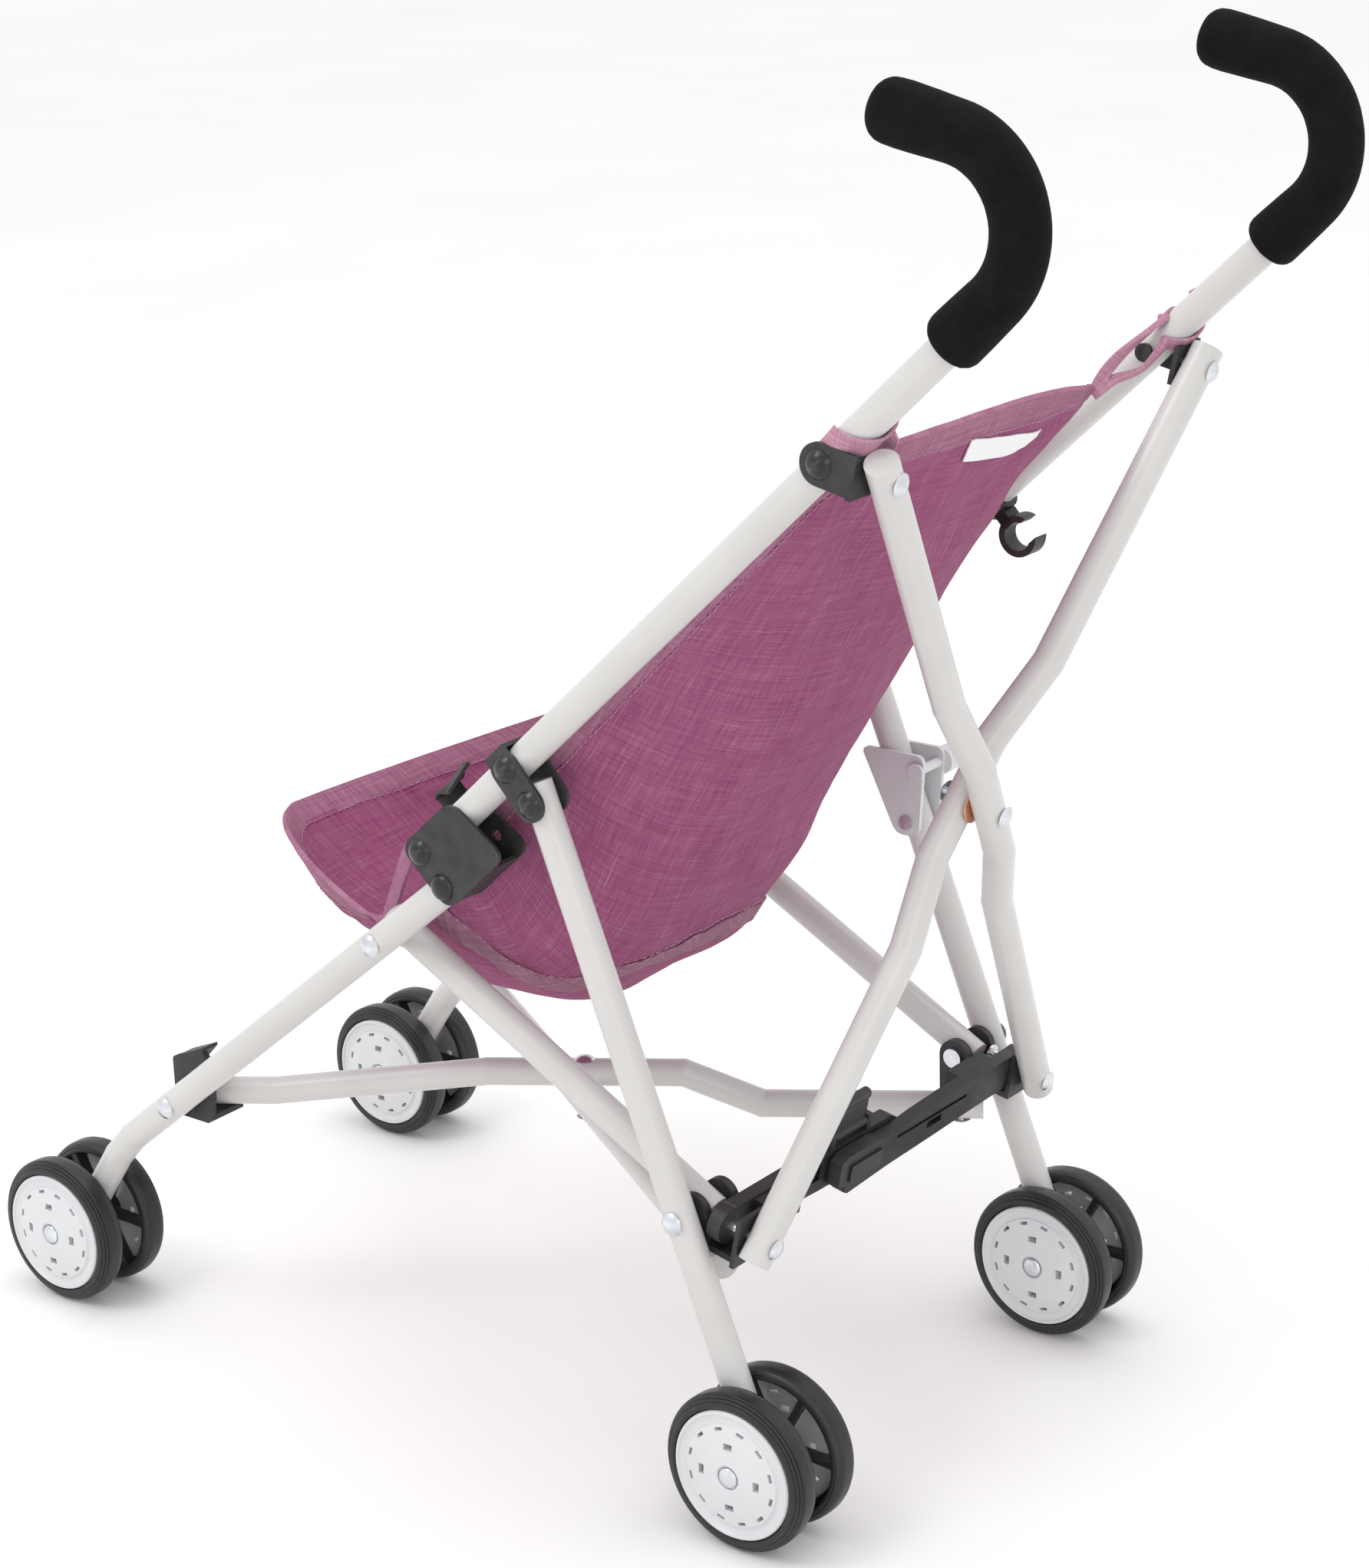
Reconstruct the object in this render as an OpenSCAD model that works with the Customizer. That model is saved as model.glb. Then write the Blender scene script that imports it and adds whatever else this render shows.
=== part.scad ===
// Toy buggy for dolls: an umbrella-fold frame of round tubes with two side
// frames, a folding cross at the back, a folding cross under the seat, a
// two-part locking brace and a hung cloth seat.
// Left is +X, the front is -Y, the floor is Z = 0.

/* [Tubes] */
// Diameter of every frame tube
tube_d = 12; // [11.6:0.1:12]
// Diameter of the two tubes under the seat
floor_tube_d = 11.3; // [10:0.1:11.5]
// Distance of each side frame from the middle
side_x = 102; // [102:0.5:110]
// Slope of the push tubes
push_angle = 42.55; // [42:0.05:43]
// Direction of the front legs, measured from straight back
front_angle = 218.7; // [218:0.05:219]

/* [Wheels] */
// Diameter of each wheel
wheel_d = 62; // [58:1:62]
// Width of each tread
wheel_w = 11.8; // [10:0.1:11.8]
// Bore of each wheel
wheel_bore = 4.16; // [4.12:0.01:4.18]

/* [Grips] */
// Diameter of the soft grips
grip_d = 19.8; // [18:0.1:22]
// Radius of the bend in each grip
grip_bend = 30; // [26:1:34]

/* [Rivets] */
// Shank diameter of the rivets
rivet_d = 4; // [4:0.01:4.02]
// Head diameter of the black dome rivets
dome_d = 10.4; // [8:0.1:11]

/* [Seat] */
// Thickness of the cloth of the seat
cloth_t = 1.6; // [1.2:0.1:2.4]

/* [Hidden] */

tr = tube_d/2;
fr = floor_tube_d/2;
hole_d = rivet_d + 0.16;
fit_d = rivet_d;
wr = wheel_d/2;

// colours
c_white = [0.86, 0.83, 0.79];
c_black = [0.16, 0.15, 0.15];
c_foam = [0.10, 0.10, 0.11];
c_zinc = [0.72, 0.72, 0.72];
c_cap = [0.90, 0.91, 0.93];
c_cloth = [0.72, 0.42, 0.58];

// side-view points are [y, z]
function dir(a) = [cos(a), sin(a)];
function P3(x, p) = [x, p[0], p[1]];
function unit(w) = w/norm(w);
up = dir(push_angle);
vp = [-up[1], up[0]];
H = [-12.8, 237.9];
function pu(a, b) = H + a*up + b*vp;
A0 = pu(59, 0);
B0 = pu(59, -15.5);
T0 = pu(249, 0);
r2 = pu(0, -15.5);
fd = dir(front_angle);
F0 = r2 + 51.5*fd;
G0 = r2 + 205*fd;
knee = [-194.3, 72.6];
axle_f = [-223.1, 31];
axle_r = [131.8, 31];
rd = unit(axle_r - B0);
R0 = B0 + 160*rd;

// back plane: two tubes that cross
arm_top = 20.5;
arm_bottom = 29.5;
dTR = T0 - R0;
n0 = atan2(dTR[1], dTR[0]) - 90 + asin((arm_bottom - arm_top)/norm(dTR));
nv = dir(n0);
mv = [-nv[1], nv[0]];
Tq = T0 + arm_top*nv;
Rq = R0 + arm_bottom*nv;
cross_up = 149.85;
xt = 100;
xb = 91.5;
C0 = Rq + cross_up*mv;

// floor plane: two tubes that cross under the seat
floor_z = 94.3;
w2 = 82;
yG = G0[0] + 5;
yR = R0[0] - 0.5;
yC = (yG + yR)/2;

// side link and brackets
link_x = 86.6;
co = [108.1, 109.6];
ci = [94.4, 95.9];

module side(s) { if (s > 0) children(); else mirror([1, 0, 0]) children(); }

module rod(p, q, r, n = 48) {
  d = q - p; L = norm(d);
  translate(p) rotate([0, acos(d[2]/L), atan2(d[1], d[0])]) cylinder(h = L, r = r, $fn = n);
}

// a corner rounded by short straight steps of at most 11 degrees
function turn(a, b, c) = acos(min(1, unit(b - a)*unit(c - b)));
function rounded(a, b, c, rb) = let (d1 = unit(b - a), d2 = unit(c - b), t = turn(a, b, c), m = t < 15 ? 1 : ceil(t/11),
  n = unit(cross(d1, d2)), w = cross(n, d1), o = b - d1*rb*tan(t/2) + w*rb)
  [for (j = [0:m - 1]) let (f = t*(j + 0.5)/m) o + (d1*sin(f) - w*cos(f))*rb/cos(t/(2*m))];
function smooth_path(p, rb) = [p[0], for (i = [1:len(p) - 2]) each rounded(p[i - 1], p[i], p[i + 1], rb), p[len(p) - 1]];

// tube along points with rounded corners
module bent(p, rb, r) { joined(smooth_path(p, rb), r); }
// each straight step ends just short of the ball that joins it to the next
module joined(q, r) {
  g = 0.16*r; n = len(q) - 1;
  for (i = [0:n - 1]) {
    d = unit(q[i + 1] - q[i]);
    rod(q[i] + (i == 0 ? 0 : g)*d, q[i + 1] - (i == n - 1 ? 0 : g)*d, r);
  }
  for (i = [1:n - 1]) translate(q[i]) sphere(r = r*1.015, $fn = 48);
}

// the same for long straight steps; the balls' poles lie along the tube
module straight_steps(q, r) {
  g = 0.16*r; n = len(q) - 1;
  for (i = [0:n - 1]) {
    d = unit(q[i + 1] - q[i]);
    rod(q[i] + (i == 0 ? 0 : g)*d, q[i + 1] - (i == n - 1 ? 0 : g)*d, r);
  }
  for (i = [1:n - 1]) let (d = unit(q[i + 1] - q[i - 1])) translate(q[i]) rotate([0, acos(d[2]), atan2(d[1], d[0])]) rotate([0, 0, 25]) sphere(r = r*1.015, $fn = 48);
}

// flat shape in the side view, from x0 to x1
module xplate(x0, x1) { translate([x0, 0, 0]) rotate([90, 0, 90]) linear_extrude(x1 - x0) children(); }
// round hole along X at a side-view point
module xhole(p, d, x0 = 60, x1 = 130) { translate([x0, p[0], p[1]]) rotate([0, 90, 0]) cylinder(h = x1 - x0, d = d, $fn = 48); }
module xrod(p, d, x0, x1) { xhole(p, d, x0, x1); }
// frame with local Y along the back plane's normal
module nframe(p) { translate([0, p[0], p[1]]) rotate([n0, 0, 0]) children(); }
// local frame of the push tube: x along the tube, y out of the seat side
module uplate(x0, x1) { xplate(x0, x1) translate(H) rotate(push_angle) children(); }
// capsule outline between two points, without hull()
module hull2(a, b, r) {
  d = b - a; L = norm(d);
  translate(a) rotate(atan2(d[1], d[0])) union() {
    translate([0, -r]) square([L, 2*r]);
    circle(r = r, $fn = 48);
    translate([L, 0]) circle(r = r, $fn = 48);
  }
}
// dome head, its flat side at x and its crown outwards
module dome(p, x, d = dome_d, h = 2.6) {
  R = (d*d/4 + h*h)/(2*h);
  translate([x, p[0], p[1]]) rotate([0, 90, 0]) rotate_extrude($fn = 48)
    intersection() { translate([0, h - R]) circle(r = R, $fn = 64); square([d, h]); }
}
module flathead(p, x0, x1, d = 8) { xrod(p, d, x0, x1); }

module push_tube() {
  color(c_white) difference() {
    rod(P3(side_x, pu(-6.8, 0)), P3(side_x, pu(333, 0)), tr);
    xhole(H, fit_d); xhole(A0, fit_d); xhole(T0, fit_d);
  }
}

module grip() {
  g0 = pu(311.6, 0); g1 = pu(333.4, 0);
  c = g1 + grip_bend*vp;
  r = grip_d/2;
  a1 = 125.4;
  e = c + grip_bend*[cos(push_angle - 90 + a1), sin(push_angle - 90 + a1)];
  ed = dir(push_angle + a1);
  m = 12;
  pts = [P3(side_x, g0), for (j = [0:m - 1]) let (f = push_angle - 90 + a1*(j + 0.5)/m) P3(side_x, c + grip_bend/cos(a1/(2*m))*dir(f)), P3(side_x, e + 25*ed)];
  color(c_foam) difference() {
    union() {
      joined(pts, r);
      translate(P3(side_x, e + 24.9*ed)) rotate([push_angle + a1, 0, 0]) rotate([-90, 0, 0])
        rotate_extrude($fn = 64) polygon([[0, 0], [r - 0.3, 0], [r - 1.4, 2.2], [r - 3.6, 3.8], [0, 4]]);
    }
    rod(P3(side_x, pu(300, 0)), P3(side_x, pu(333, 0)), tr);
  }
}

module front_leg() {
  color(c_white) difference() {
    bent([P3(side_x, r2 - 8*fd), P3(side_x, knee - 7.5*fd), P3(side_x, knee + 7.5*unit(axle_f - knee)), P3(side_x, axle_f + 6.5*unit(axle_f - knee))], 1, tr);
    xhole(r2, fit_d); xhole(F0, fit_d); xhole(G0, fit_d); xhole(axle_f, fit_d);
  }
}

module rear_leg(right = false) {
  color(c_white) difference() {
    rod(P3(side_x, B0 - 6.7*rd), P3(side_x, axle_r + 6.5*rd), tr);
    xhole(B0, hole_d); xhole(R0, fit_d); xhole(axle_r, fit_d);
    if (right) xhole(latch_p, fit_d);
  }
}

module hinge_plate() {
  color(c_black) difference() {
    union() {
      uplate(co[0], co[1]) plate_outline();
      uplate(ci[0], ci[1]) plate_outline();
      uplate(ci[1] - 0.01, co[0] + 0.01) translate([2.8, -23.5]) square([24.8, 1.4]);
    }
    xhole(H, hole_d); xhole(r2, fit_d);
    xhole(pu(24.5, -12), 4.6, 90, 100);
  }
}
module plate_outline() { soft_poly([[-6.5, 6.6], [27.4, 6.3], [34.6, -23.5], [-4.2, -23.5]], 6.5); }
// polygon whose corners are eased by short curves
module soft_poly(p, k) {
  n = len(p);
  polygon([for (i = [0:n - 1]) let (b = p[i], a = b + k*unit(p[(i + n - 1) % n] - b), c = b + k*unit(p[(i + 1) % n] - b)) for (j = [0:6]) let (t = j/6) (1 - t)*(1 - t)*a + 2*t*(1 - t)*b + t*t*c]);
}
// polygon with small chamfered corners
module offset_poly(p, k = 1.6) {
  n = len(p);
  polygon([for (i = [0:n - 1]) let (a = p[(i + n - 1) % n], b = p[i], c = p[(i + 1) % n]) each [b + k*unit(a - b), b + 0.45*k*unit(a - b) + 0.45*k*unit(c - b) - 0.18*k*unit(unit(a - b) + unit(c - b)), b + k*unit(c - b)]]);
}

module side_bracket() {
  color(c_black) difference() {
    union() {
      uplate(co[0], co[1]) hull2([59, 0], [59, -15.5], 6.6);
      uplate(ci[0], ci[1]) hull2([59, 0], [59, -15.5], 6.6);
      uplate(ci[0], co[1]) translate([53.4, 6.1]) square([11.2, 1.5]);
      uplate(co[0], co[1]) translate([53.4, 0]) square([11.2, 7]);
      uplate(ci[0], ci[1]) translate([53.4, 0]) square([11.2, 7]);
    }
    xhole(A0, fit_d); xhole(B0, fit_d);
  }
}

module side_link() {
  d = unit(F0 - R0);
  color(c_white) difference() {
    rod(P3(link_x, R0 - 4.4*d), P3(link_x, F0 + 8*d), tr);
    xhole(R0, hole_d); xhole(F0, 4.8);
  }
}

// carries the back cross and the locking brace, turns on the rear leg
module rear_bracket() {
  color(c_black) difference() {
    union() {
      xplate(92.9, 95.7) rear_outline();
      nframe(R0) {
        translate([84, 5, -11.6]) cube([11.7, 18.2, 2.4]);
        translate([84, 21.3, -11.6]) cube([14.6, 1.9, 20]);
      }
    }
    xhole(R0, hole_d);
    nframe(R0) translate([xb, 0, 0]) rotate([-90, 0, 0]) cylinder(h = 40, d = hole_d, $fn = 48);
  }
}
module rear_outline() {
  translate(R0) rotate(n0) union() {
    circle(r = 7, $fn = 48);
    polygon([[-6, -3], [-4.5, -11.6], [23.2, -11.6], [23.2, -9.2], [8.6, -9.2], [7.1, -4], [5, 0]]);
  }
}

// carries the end of one floor tube, turns on the rear leg's bolt
module floor_knuckle(p = false) {
  h = floor_z + fr + 0.3;
  color(c_black) difference() {
    union() {
      xplate(76.4, 79.9) difference() {
        union() { translate(R0) circle(r = 7, $fn = 48); translate([R0[0] - 7, h]) square([13, R0[1] - h]); }
      }
      translate([76.4, R0[0] - 7, h]) cube([12.4, 13, 2.2]);
    }
    xhole(R0, hole_d);
    translate([w2, yR, 80]) cylinder(h = 30, d = hole_d + 0.9, $fn = 48);
    translate([w2, yR, h + 2.2]) cylinder(h = 2.8, d = 10.4, $fn = 48);
  }
}

module top_bracket() {
  color(c_black) difference() {
    union() {
      nframe(T0) {
        translate([ci[0], 12.2, -8]) cube([co[1] - ci[0], 2, 14.2]);
      }
      xplate(co[0], co[1]) translate(T0) rotate(n0) union() {
        circle(r = 7.4, $fn = 48);
        translate([0, -7.4]) square([14.2, 14.8]);
      }
    }
    xhole(T0, hole_d);
  }
}

// carries the front end of one floor tube, turns on the front leg: a cheek
// beside the leg, a plate under the tube and a block above its end
module front_bracket(p = false) {
  zf = floor_z + (p ? 4 : 0);
  zb = zf - fr - 0.3;
  zt = zf + fr + 0.9;
  color(c_black) difference() {
    union() {
      xplate(92.9, 95.7) translate([G0[0], 0]) offset_poly([[-6, zb - 2.2], [13, zb - 2.2], [15, zb + 8], [15, 116], [10.5, 122.6], [-6, 115.6]], 1.2);
      xplate(84, 93) translate([G0[0], 0]) polygon([[-5.8, zt], [8.5, zt + 15], [8.5, 121.2], [-5.8, 115.2]]);
      xplate(75.5, 93) translate([G0[0], 0]) polygon([[-2, zb - 2.2], [12, zb - 2.2], [12, zb], [-2, zb]]);
    }
    xhole(G0, hole_d, 91, 99);
  }
}

// points of a back tube, from its lower end on side s to its upper end
function back_pts(s, o) = let (a = P3(s*xb, Rq), c = P3(0, C0), b = P3(-s*xt, Tq), N = P3(0, nv), d1 = unit(c - a), d2 = unit(b - c))
  [a - 8*d1, c - 58*d1, c - 24*d1 + o*N, c + 24*d2 + o*N, c + 58*d2, b + 8*d2];
module back_tube(s, o) {
  color(c_white) difference() {
    bent(back_pts(s, o), 1, tr);
    nframe(R0) translate([s*xb, 10, 0]) rotate([-90, 0, 0]) cylinder(h = 40, d = fit_d, $fn = 48);
    nframe(T0) translate([-s*xt, 5, 0]) rotate([-90, 0, 0]) cylinder(h = 40, d = fit_d, $fn = 48);
    nframe(C0) translate([0, -20, 0]) rotate([-90, 0, 0]) cylinder(h = 40, d = s > 0 ? fit_d : hole_d, $fn = 48);
  }
}
module nrod(p, x, y0, y1, d) { nframe(p) translate([x, y0, 0]) rotate([-90, 0, 0]) cylinder(h = y1 - y0, d = d, $fn = 48); }
module ndome(p, x, y, d, h, back = true) {
  R = (d*d/4 + h*h)/(2*h);
  nframe(p) translate([x, y, 0]) rotate([back ? -90 : 90, 0, 0]) rotate_extrude($fn = 48)
    intersection() { translate([0, h - R]) circle(r = R, $fn = 64); square([d, h]); }
}

// long pin at the lower end of a back tube, through the brace arm and the bracket
module pivot_pin(x) {
  nrod(R0, x, 8.4, arm_bottom + tr, fit_d);
  ndome(R0, x, arm_bottom + tr, 8.4, 1.8);
  nrod(R0, x, 7.9, 8.7, 7.6);
}
// rivets that stay with tube a (its lower end is on the right)
module back_rivets_a() {
  color(c_zinc) {
    pivot_pin(-xb); nrod(T0, xt, arm_top - 6.2, arm_top + tr, fit_d); ndome(T0, xt, arm_top + tr, 8.4, 1.8); }
}
// rivets that stay with tube b, with the pin of the crossing
module back_rivets_b() {
  color(c_zinc) {
    pivot_pin(xb);
    nrod(T0, -xt, arm_top - 6.2, arm_top + tr, fit_d); ndome(T0, -xt, arm_top + tr, 8.4, 1.8);
    nrod(C0, 0, -12.8, 12.9, fit_d); ndome(C0, 0, -12.8, 8.4, 1.8, false); ndome(C0, 0, 13.0, 8.4, 1.8);
  }
}

function floor_p() = let (a = [-w2, yR, floor_z], b = [w2, yG, floor_z + 4], c = [0, yC, floor_z + 13.2], e = unit([2*w2, yG - yR, 0]))
  [a - 9*e, a + 80*e, c - 40*e, c + 40*e, b - 24*e, b + 9*e];
module floor_tube_p() {
  color(c_white) difference() {
    straight_steps(floor_p(), fr);
    translate([-w2, yR, 80]) cylinder(h = 40, d = fit_d, $fn = 48);
    translate([w2, yG, 80]) cylinder(h = 40, d = fit_d, $fn = 48);
    translate([0, yC, 80]) cylinder(h = 40, d = fit_d, $fn = 48);
  }
}
module floor_tube_q() {
  e = unit([-2*w2, yG - yR, 0]);
  color(c_white) difference() {
    rod([w2, yR, floor_z] - 9*e, [-w2, yG, floor_z] + 9*e, fr);
    translate([w2, yR, 80]) cylinder(h = 40, d = fit_d, $fn = 48);
    translate([-w2, yG, 80]) cylinder(h = 40, d = fit_d, $fn = 48);
    translate([0, yC, 80]) cylinder(h = 40, d = hole_d, $fn = 48);
  }
}
module zrivet(x, y, z0, z1, top, bottom = true) {
  color(c_zinc) {
    translate([x, y, z0]) cylinder(h = z1 - z0, d = fit_d, $fn = 48);
    if (top) translate([x, y, z1]) zdome();
    if (bottom) translate([x, y, z0]) mirror([0, 0, 1]) zdome();
  }
}
module zdome(d = 8.4, h = 1.8) {
  R = (d*d/4 + h*h)/(2*h);
  rotate_extrude($fn = 48) intersection() { translate([0, h - R]) circle(r = R, $fn = 64); square([d, h]); }
}
module floor_rivets_p() {
  zrivet(-w2, yR, floor_z - fr, floor_z + fr + 2.7, true);
  zrivet(w2, yG, floor_z + 4 - fr, floor_z + 4 + fr, true, false);
  zrivet(0, yC, floor_z - fr - 0.4, floor_z + 13.2 + fr, true);
}
module floor_rivets_q() {
  zrivet(w2, yR, floor_z - fr, floor_z + fr + 2.7, true);
  zrivet(-w2, yG, floor_z - fr, floor_z + fr, true, false);
}

// locking brace: two moulded arms that meet in the middle, in two layers
lever_n = 11.9;
arm_l = [[91.5, -7], [60, -7.6], [34, -9], [6, -9.4], [-9, -7], [-14, -4], [-14, 4], [-9, 7], [91.5, 7]];
arm_r = [[91.5, -7], [67, -7.4], [34, -8.8], [2, -9.8], [-24, -11.6], [-26, -10.6], [-26, -7.4], [-31, -6.8],
  [-31, 3.4], [-27, 5.6], [-8, 5.6], [-4, 4.4], [8, 4.4], [20, 5.6], [40, 6.6], [67, 7], [91.5, 7]];
module lock_arm(s) {
  y0 = s > 0 ? 9.2 : 15.2; y1 = s > 0 ? 14.8 : 20.9;
  side(s) color(c_black) difference() {
    union() {
      nframe(R0) {
        translate([xb, y0, 0]) rotate([-90, 0, 0]) cylinder(h = y1 - y0, r = 7.4, $fn = 48);
        translate([0, y1, 0]) rotate([90, 0, 0]) linear_extrude(y1 - y0) polygon(s > 0 ? arm_l : arm_r);
        translate([56, s > 0 ? 10 : 9.2, -6.2]) cube([23, s > 0 ? 10.9 : 10.9, 12.4]);
        if (s > 0) for (x = [5, 28]) translate([x, lever_n - 2.7, 6]) cube([2.6, 5.4, 7.6]);
        if (s < 0) translate([-25, 20, -6]) cube([20, 1.9, 7]);
      }
    }
    nframe(R0) {
      translate([xb, y0 - 1, 0]) rotate([-90, 0, 0]) cylinder(h = 10, d = hole_d, $fn = 48);
      if (s < 0) {
        translate([6, y1 - 0.9, 0.6]) cube([48, 2, 1.3]);
        translate([27, y0 - 1, -3.4]) cube([10, 8, 3]);
        translate([58, 9, -3.6]) cube([18.6, 4, 7.2]);
      } else {
        translate([36, y1 - 1.2, -3.6]) cube([14, 2, 7.2]);
        translate([12, y0 - 1, -2.2]) cube([10, 8, 4.4]);
        translate([4, lever_n, 10.6]) rotate([0, 90, 0]) cylinder(h = 30, d = 3.16, $fn = 48);
      }
    }
  }
}
// finger lever on the left arm, with moulded trunnions
module lock_lever() {
  color(c_black) nframe(R0) union() {
    translate([7.9, lever_n, 10.6]) rotate([0, 90, 0]) cylinder(h = 19.8, d = 5.4, $fn = 48);
    translate([5.2, lever_n, 10.6]) rotate([0, 90, 0]) cylinder(h = 25.2, d = 3, $fn = 48);
    translate([7.9, lever_n - 1.5, 10.6]) cube([19.8, 3, 12.4]);
    translate([7.9, lever_n, 22.6]) rotate([0, 90, 0]) cylinder(h = 19.8, d = 4.6, $fn = 48);
  }
}

// safety latch on the right rear leg (drawn on the left, mirrored)
latch_p = R0 - 94*rd;
latch_q = [latch_p[0] + 0.5, latch_p[1] + 22.7];
module latch_plate2d() {
  difference() {
    offset_poly([[latch_p[0] - 5.5, latch_p[1] - 5.5], [latch_p[0] + 5.5, latch_p[1] - 5.5], [latch_p[0] + 8.5, latch_p[1] + 29], [latch_p[0] - 22, latch_p[1] + 29]], 3);
  }
}
module latch_plates() {
  color(c_white) difference() {
    union() { xplate(108.2, 110) latch_plate2d(); xplate(93.9, 95.7) latch_plate2d(); }
    xhole(latch_p, hole_d); xhole(latch_c, 4.0);
  }
}
latch_c = latch_q + [5.2, 0];
module latch_knob() {
  color(c_white) {
    xrod(latch_c, 4.0, 92.9, 110);
    flathead(latch_c, 91.7, 92.9, 7);
    difference() {
      union() { xrod(latch_c, 11, 110, 117); }
      for (a = [0:30:359]) xhole(latch_c + 5.9*dir(a), 1.6, 111, 118);
    }
  }
}

// storage clip on the right push tube (drawn on the left, mirrored)
module storage_clip() {
  color(c_black) difference() {
    union() {
      rod(P3(side_x, pu(150, 0)), P3(side_x, pu(159, 0)), 8.2);
      uplate(98, 106) {
        translate([152, -14]) square([5, 8]);
        difference() {
          translate([155, -19]) circle(r = 8.2, $fn = 48);
          translate([155, -19]) circle(r = 5.6, $fn = 48);
          translate([155, -24]) square([14, 8]);
        }
      }
    }
    rod(P3(side_x, pu(140, 0)), P3(side_x, pu(175, 0)), tr);
  }
}

module push_rivets() {
  color(c_black) {
    xrod(H, fit_d, 93.3, 109.7); dome(H, 109.7); flathead(H, 93.1, 94.3, 7);
    xrod(A0, fit_d, 93.3, 109.6); dome(A0, 109.6); flathead(A0, 93.1, 94.4, 7);
    xrod(B0, fit_d, 93.3, 109.6); dome(B0, 109.6); flathead(B0, 93.1, 94.4, 7);
    xrod(T0, fit_d, 94.7, 109.7); dome(T0, 109.7); flathead(T0, 94.5, 95.95, 7);
  }
}
module front_rivets() {
  color(c_zinc) {
    xrod(r2, fit_d, 93.3, 109.6); dome(r2, 109.6, 9, 2); flathead(r2, 93.1, 94.4, 7);
    xrod(F0, fit_d, 92.9, 108.1); dome(F0, 108.1, 9, 2); xrod(F0, 8, 92.9, 95.9);
    xrod(G0, fit_d, 92.95, 108.1); dome(G0, 108.1, 9, 2);
    axle(axle_f);
  }
}
// axle with a fixed spacer head on each side
module axle(p) {
  xrod(p, fit_d, 84.6, 119.4);
}
module rear_rivets(right = false) {
  color(c_zinc) {
    xrod(R0, fit_d, 75, 108.1); dome(R0, 108.1, 9, 2); flathead(R0, 74.6, 76.2, 8);
    axle(axle_r);
    if (right) { xrod(latch_p, fit_d, 92.6, 110.2); dome(latch_p, 110.2, 7, 1.4); flathead(latch_p, 92.7, 93.7, 6); }
  }
}

// wheel with a deep rim, six spokes and a hub; its cap side faces out
module wheel2() {
  h = wheel_w/2;
  color(c_black) union() {
    rotate_extrude($fn = 96) polygon([[wr - 4.4, -h], [wr - 1, -h], [wr, 1 - h], [wr, h - 1.2], [wr - 1.2, h], [wr - 5.6, h], [wr - 5.6, h - 2.6], [wr - 7, h - 2.6], [wr - 7, h - 4.8], [wr - 4.4, h - 4.8]]);
    rotate_extrude($fn = 48) translate([wheel_bore/2, -h]) square([5.4 - wheel_bore/2, 2*h - 2.6]);
    for (a = [0:60:359]) rotate(a) translate([5, -1.1, -h + 2]) cube([wr - 9.6, 2.2, 2*h - 6.8]);
  }
}
module xwheel(x, p, out) {
  translate([x, p[0], p[1]]) rotate([0, out ? 90 : -90, 0]) children();
}
// cap with a rolled rim, a dished band, a raised middle, twelve short slots
// in a ring and four windows
cap_r = 25.2;
module cap_shape(outer) {
  h = wheel_w/2;
  color(c_cap) translate([0, 0, h - 2.6]) difference() {
    rotate_extrude($fn = 96) polygon([[0, 0], [cap_r, 0], [cap_r, 2.2], [cap_r - 0.5, 2.9], [cap_r - 1.2, 2.9], [cap_r - 1.8, 2.1],
      [21.4, 1.7], [20.5, 1.9], [20, 2.7], [14, 3.9], [8, 4.6], [5.2, 4.8], [4.6, 4.4], [4.5, 3.6], [0, 3.6]]);
    translate([0, 0, -0.1]) cylinder(h = 2.3, d = 4.3, $fn = 32);
    for (a = [15:30:359]) rotate(a) translate([17.8, -1.65, -1]) cube([1.3, 3.3, 7]);
    for (a = [0:90:359]) rotate(a) translate([11, -1.9, -1]) cube([2.5, 3.8, 7]);
  }
}

// cloth seat: one curved shell from the top hem, down the back, under the
// sitter and up to the front lip
sb = [[168.2, 405], [138.5, 368.8], [112.6, 323.1], [95.2, 279], [77.2, 240], [61.2, 200], [28.2, 171], [-6.8, 152.5], [-51.8, 146.5], [-101.8, 149], [-150, 170], [-183.8, 197]];
function side_of(p, i, t) = let (a = p[max(i - 1, 0)], b = p[min(i + 1, len(p) - 1)], d = unit(b - a)) p[i] + t*[-d[1], d[0]];
module seat_sling() {
  n = len(sb);
  color(c_cloth) xplate(-78, 78)
    polygon([for (i = [0:n - 1]) side_of(sb, i, cloth_t/2), for (i = [n - 1:-1:0]) side_of(sb, i, -cloth_t/2)]);
}

module waist_belt() {
  d = unit(sb[4] - sb[5]); m = (sb[4] + sb[5])/2 + 2.4*[-d[1], d[0]];
  color(c_black) xplate(-62, 62) translate(m) rotate(atan2(d[1], d[0])) translate([-7, -0.7]) square([14, 1.4]);
}

push_tube();  // push_tube_left
side(-1) push_tube();  // push_tube_right
grip();  // grip_left
side(-1) grip();  // grip_right
front_leg();  // front_leg_left
side(-1) front_leg();  // front_leg_right
rear_leg();  // rear_leg_left
side(-1) rear_leg(true);  // rear_leg_right
hinge_plate();  // hinge_plate_left
side(-1) hinge_plate();  // hinge_plate_right
side_bracket();  // side_bracket_left
side(-1) side_bracket();  // side_bracket_right
side_link();  // side_link_left
side(-1) side_link();  // side_link_right
rear_bracket();  // rear_bracket_left
side(-1) rear_bracket();  // rear_bracket_right
floor_knuckle();  // floor_knuckle_left
side(-1) floor_knuckle();  // floor_knuckle_right
top_bracket();  // top_bracket_left
side(-1) top_bracket();  // top_bracket_right
front_bracket(true);  // front_bracket_left
side(-1) front_bracket(false);  // front_bracket_right
back_tube(-1, 6.4);  // back_cross_tube_a
back_tube(1, -6.4);  // back_cross_tube_b
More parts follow.
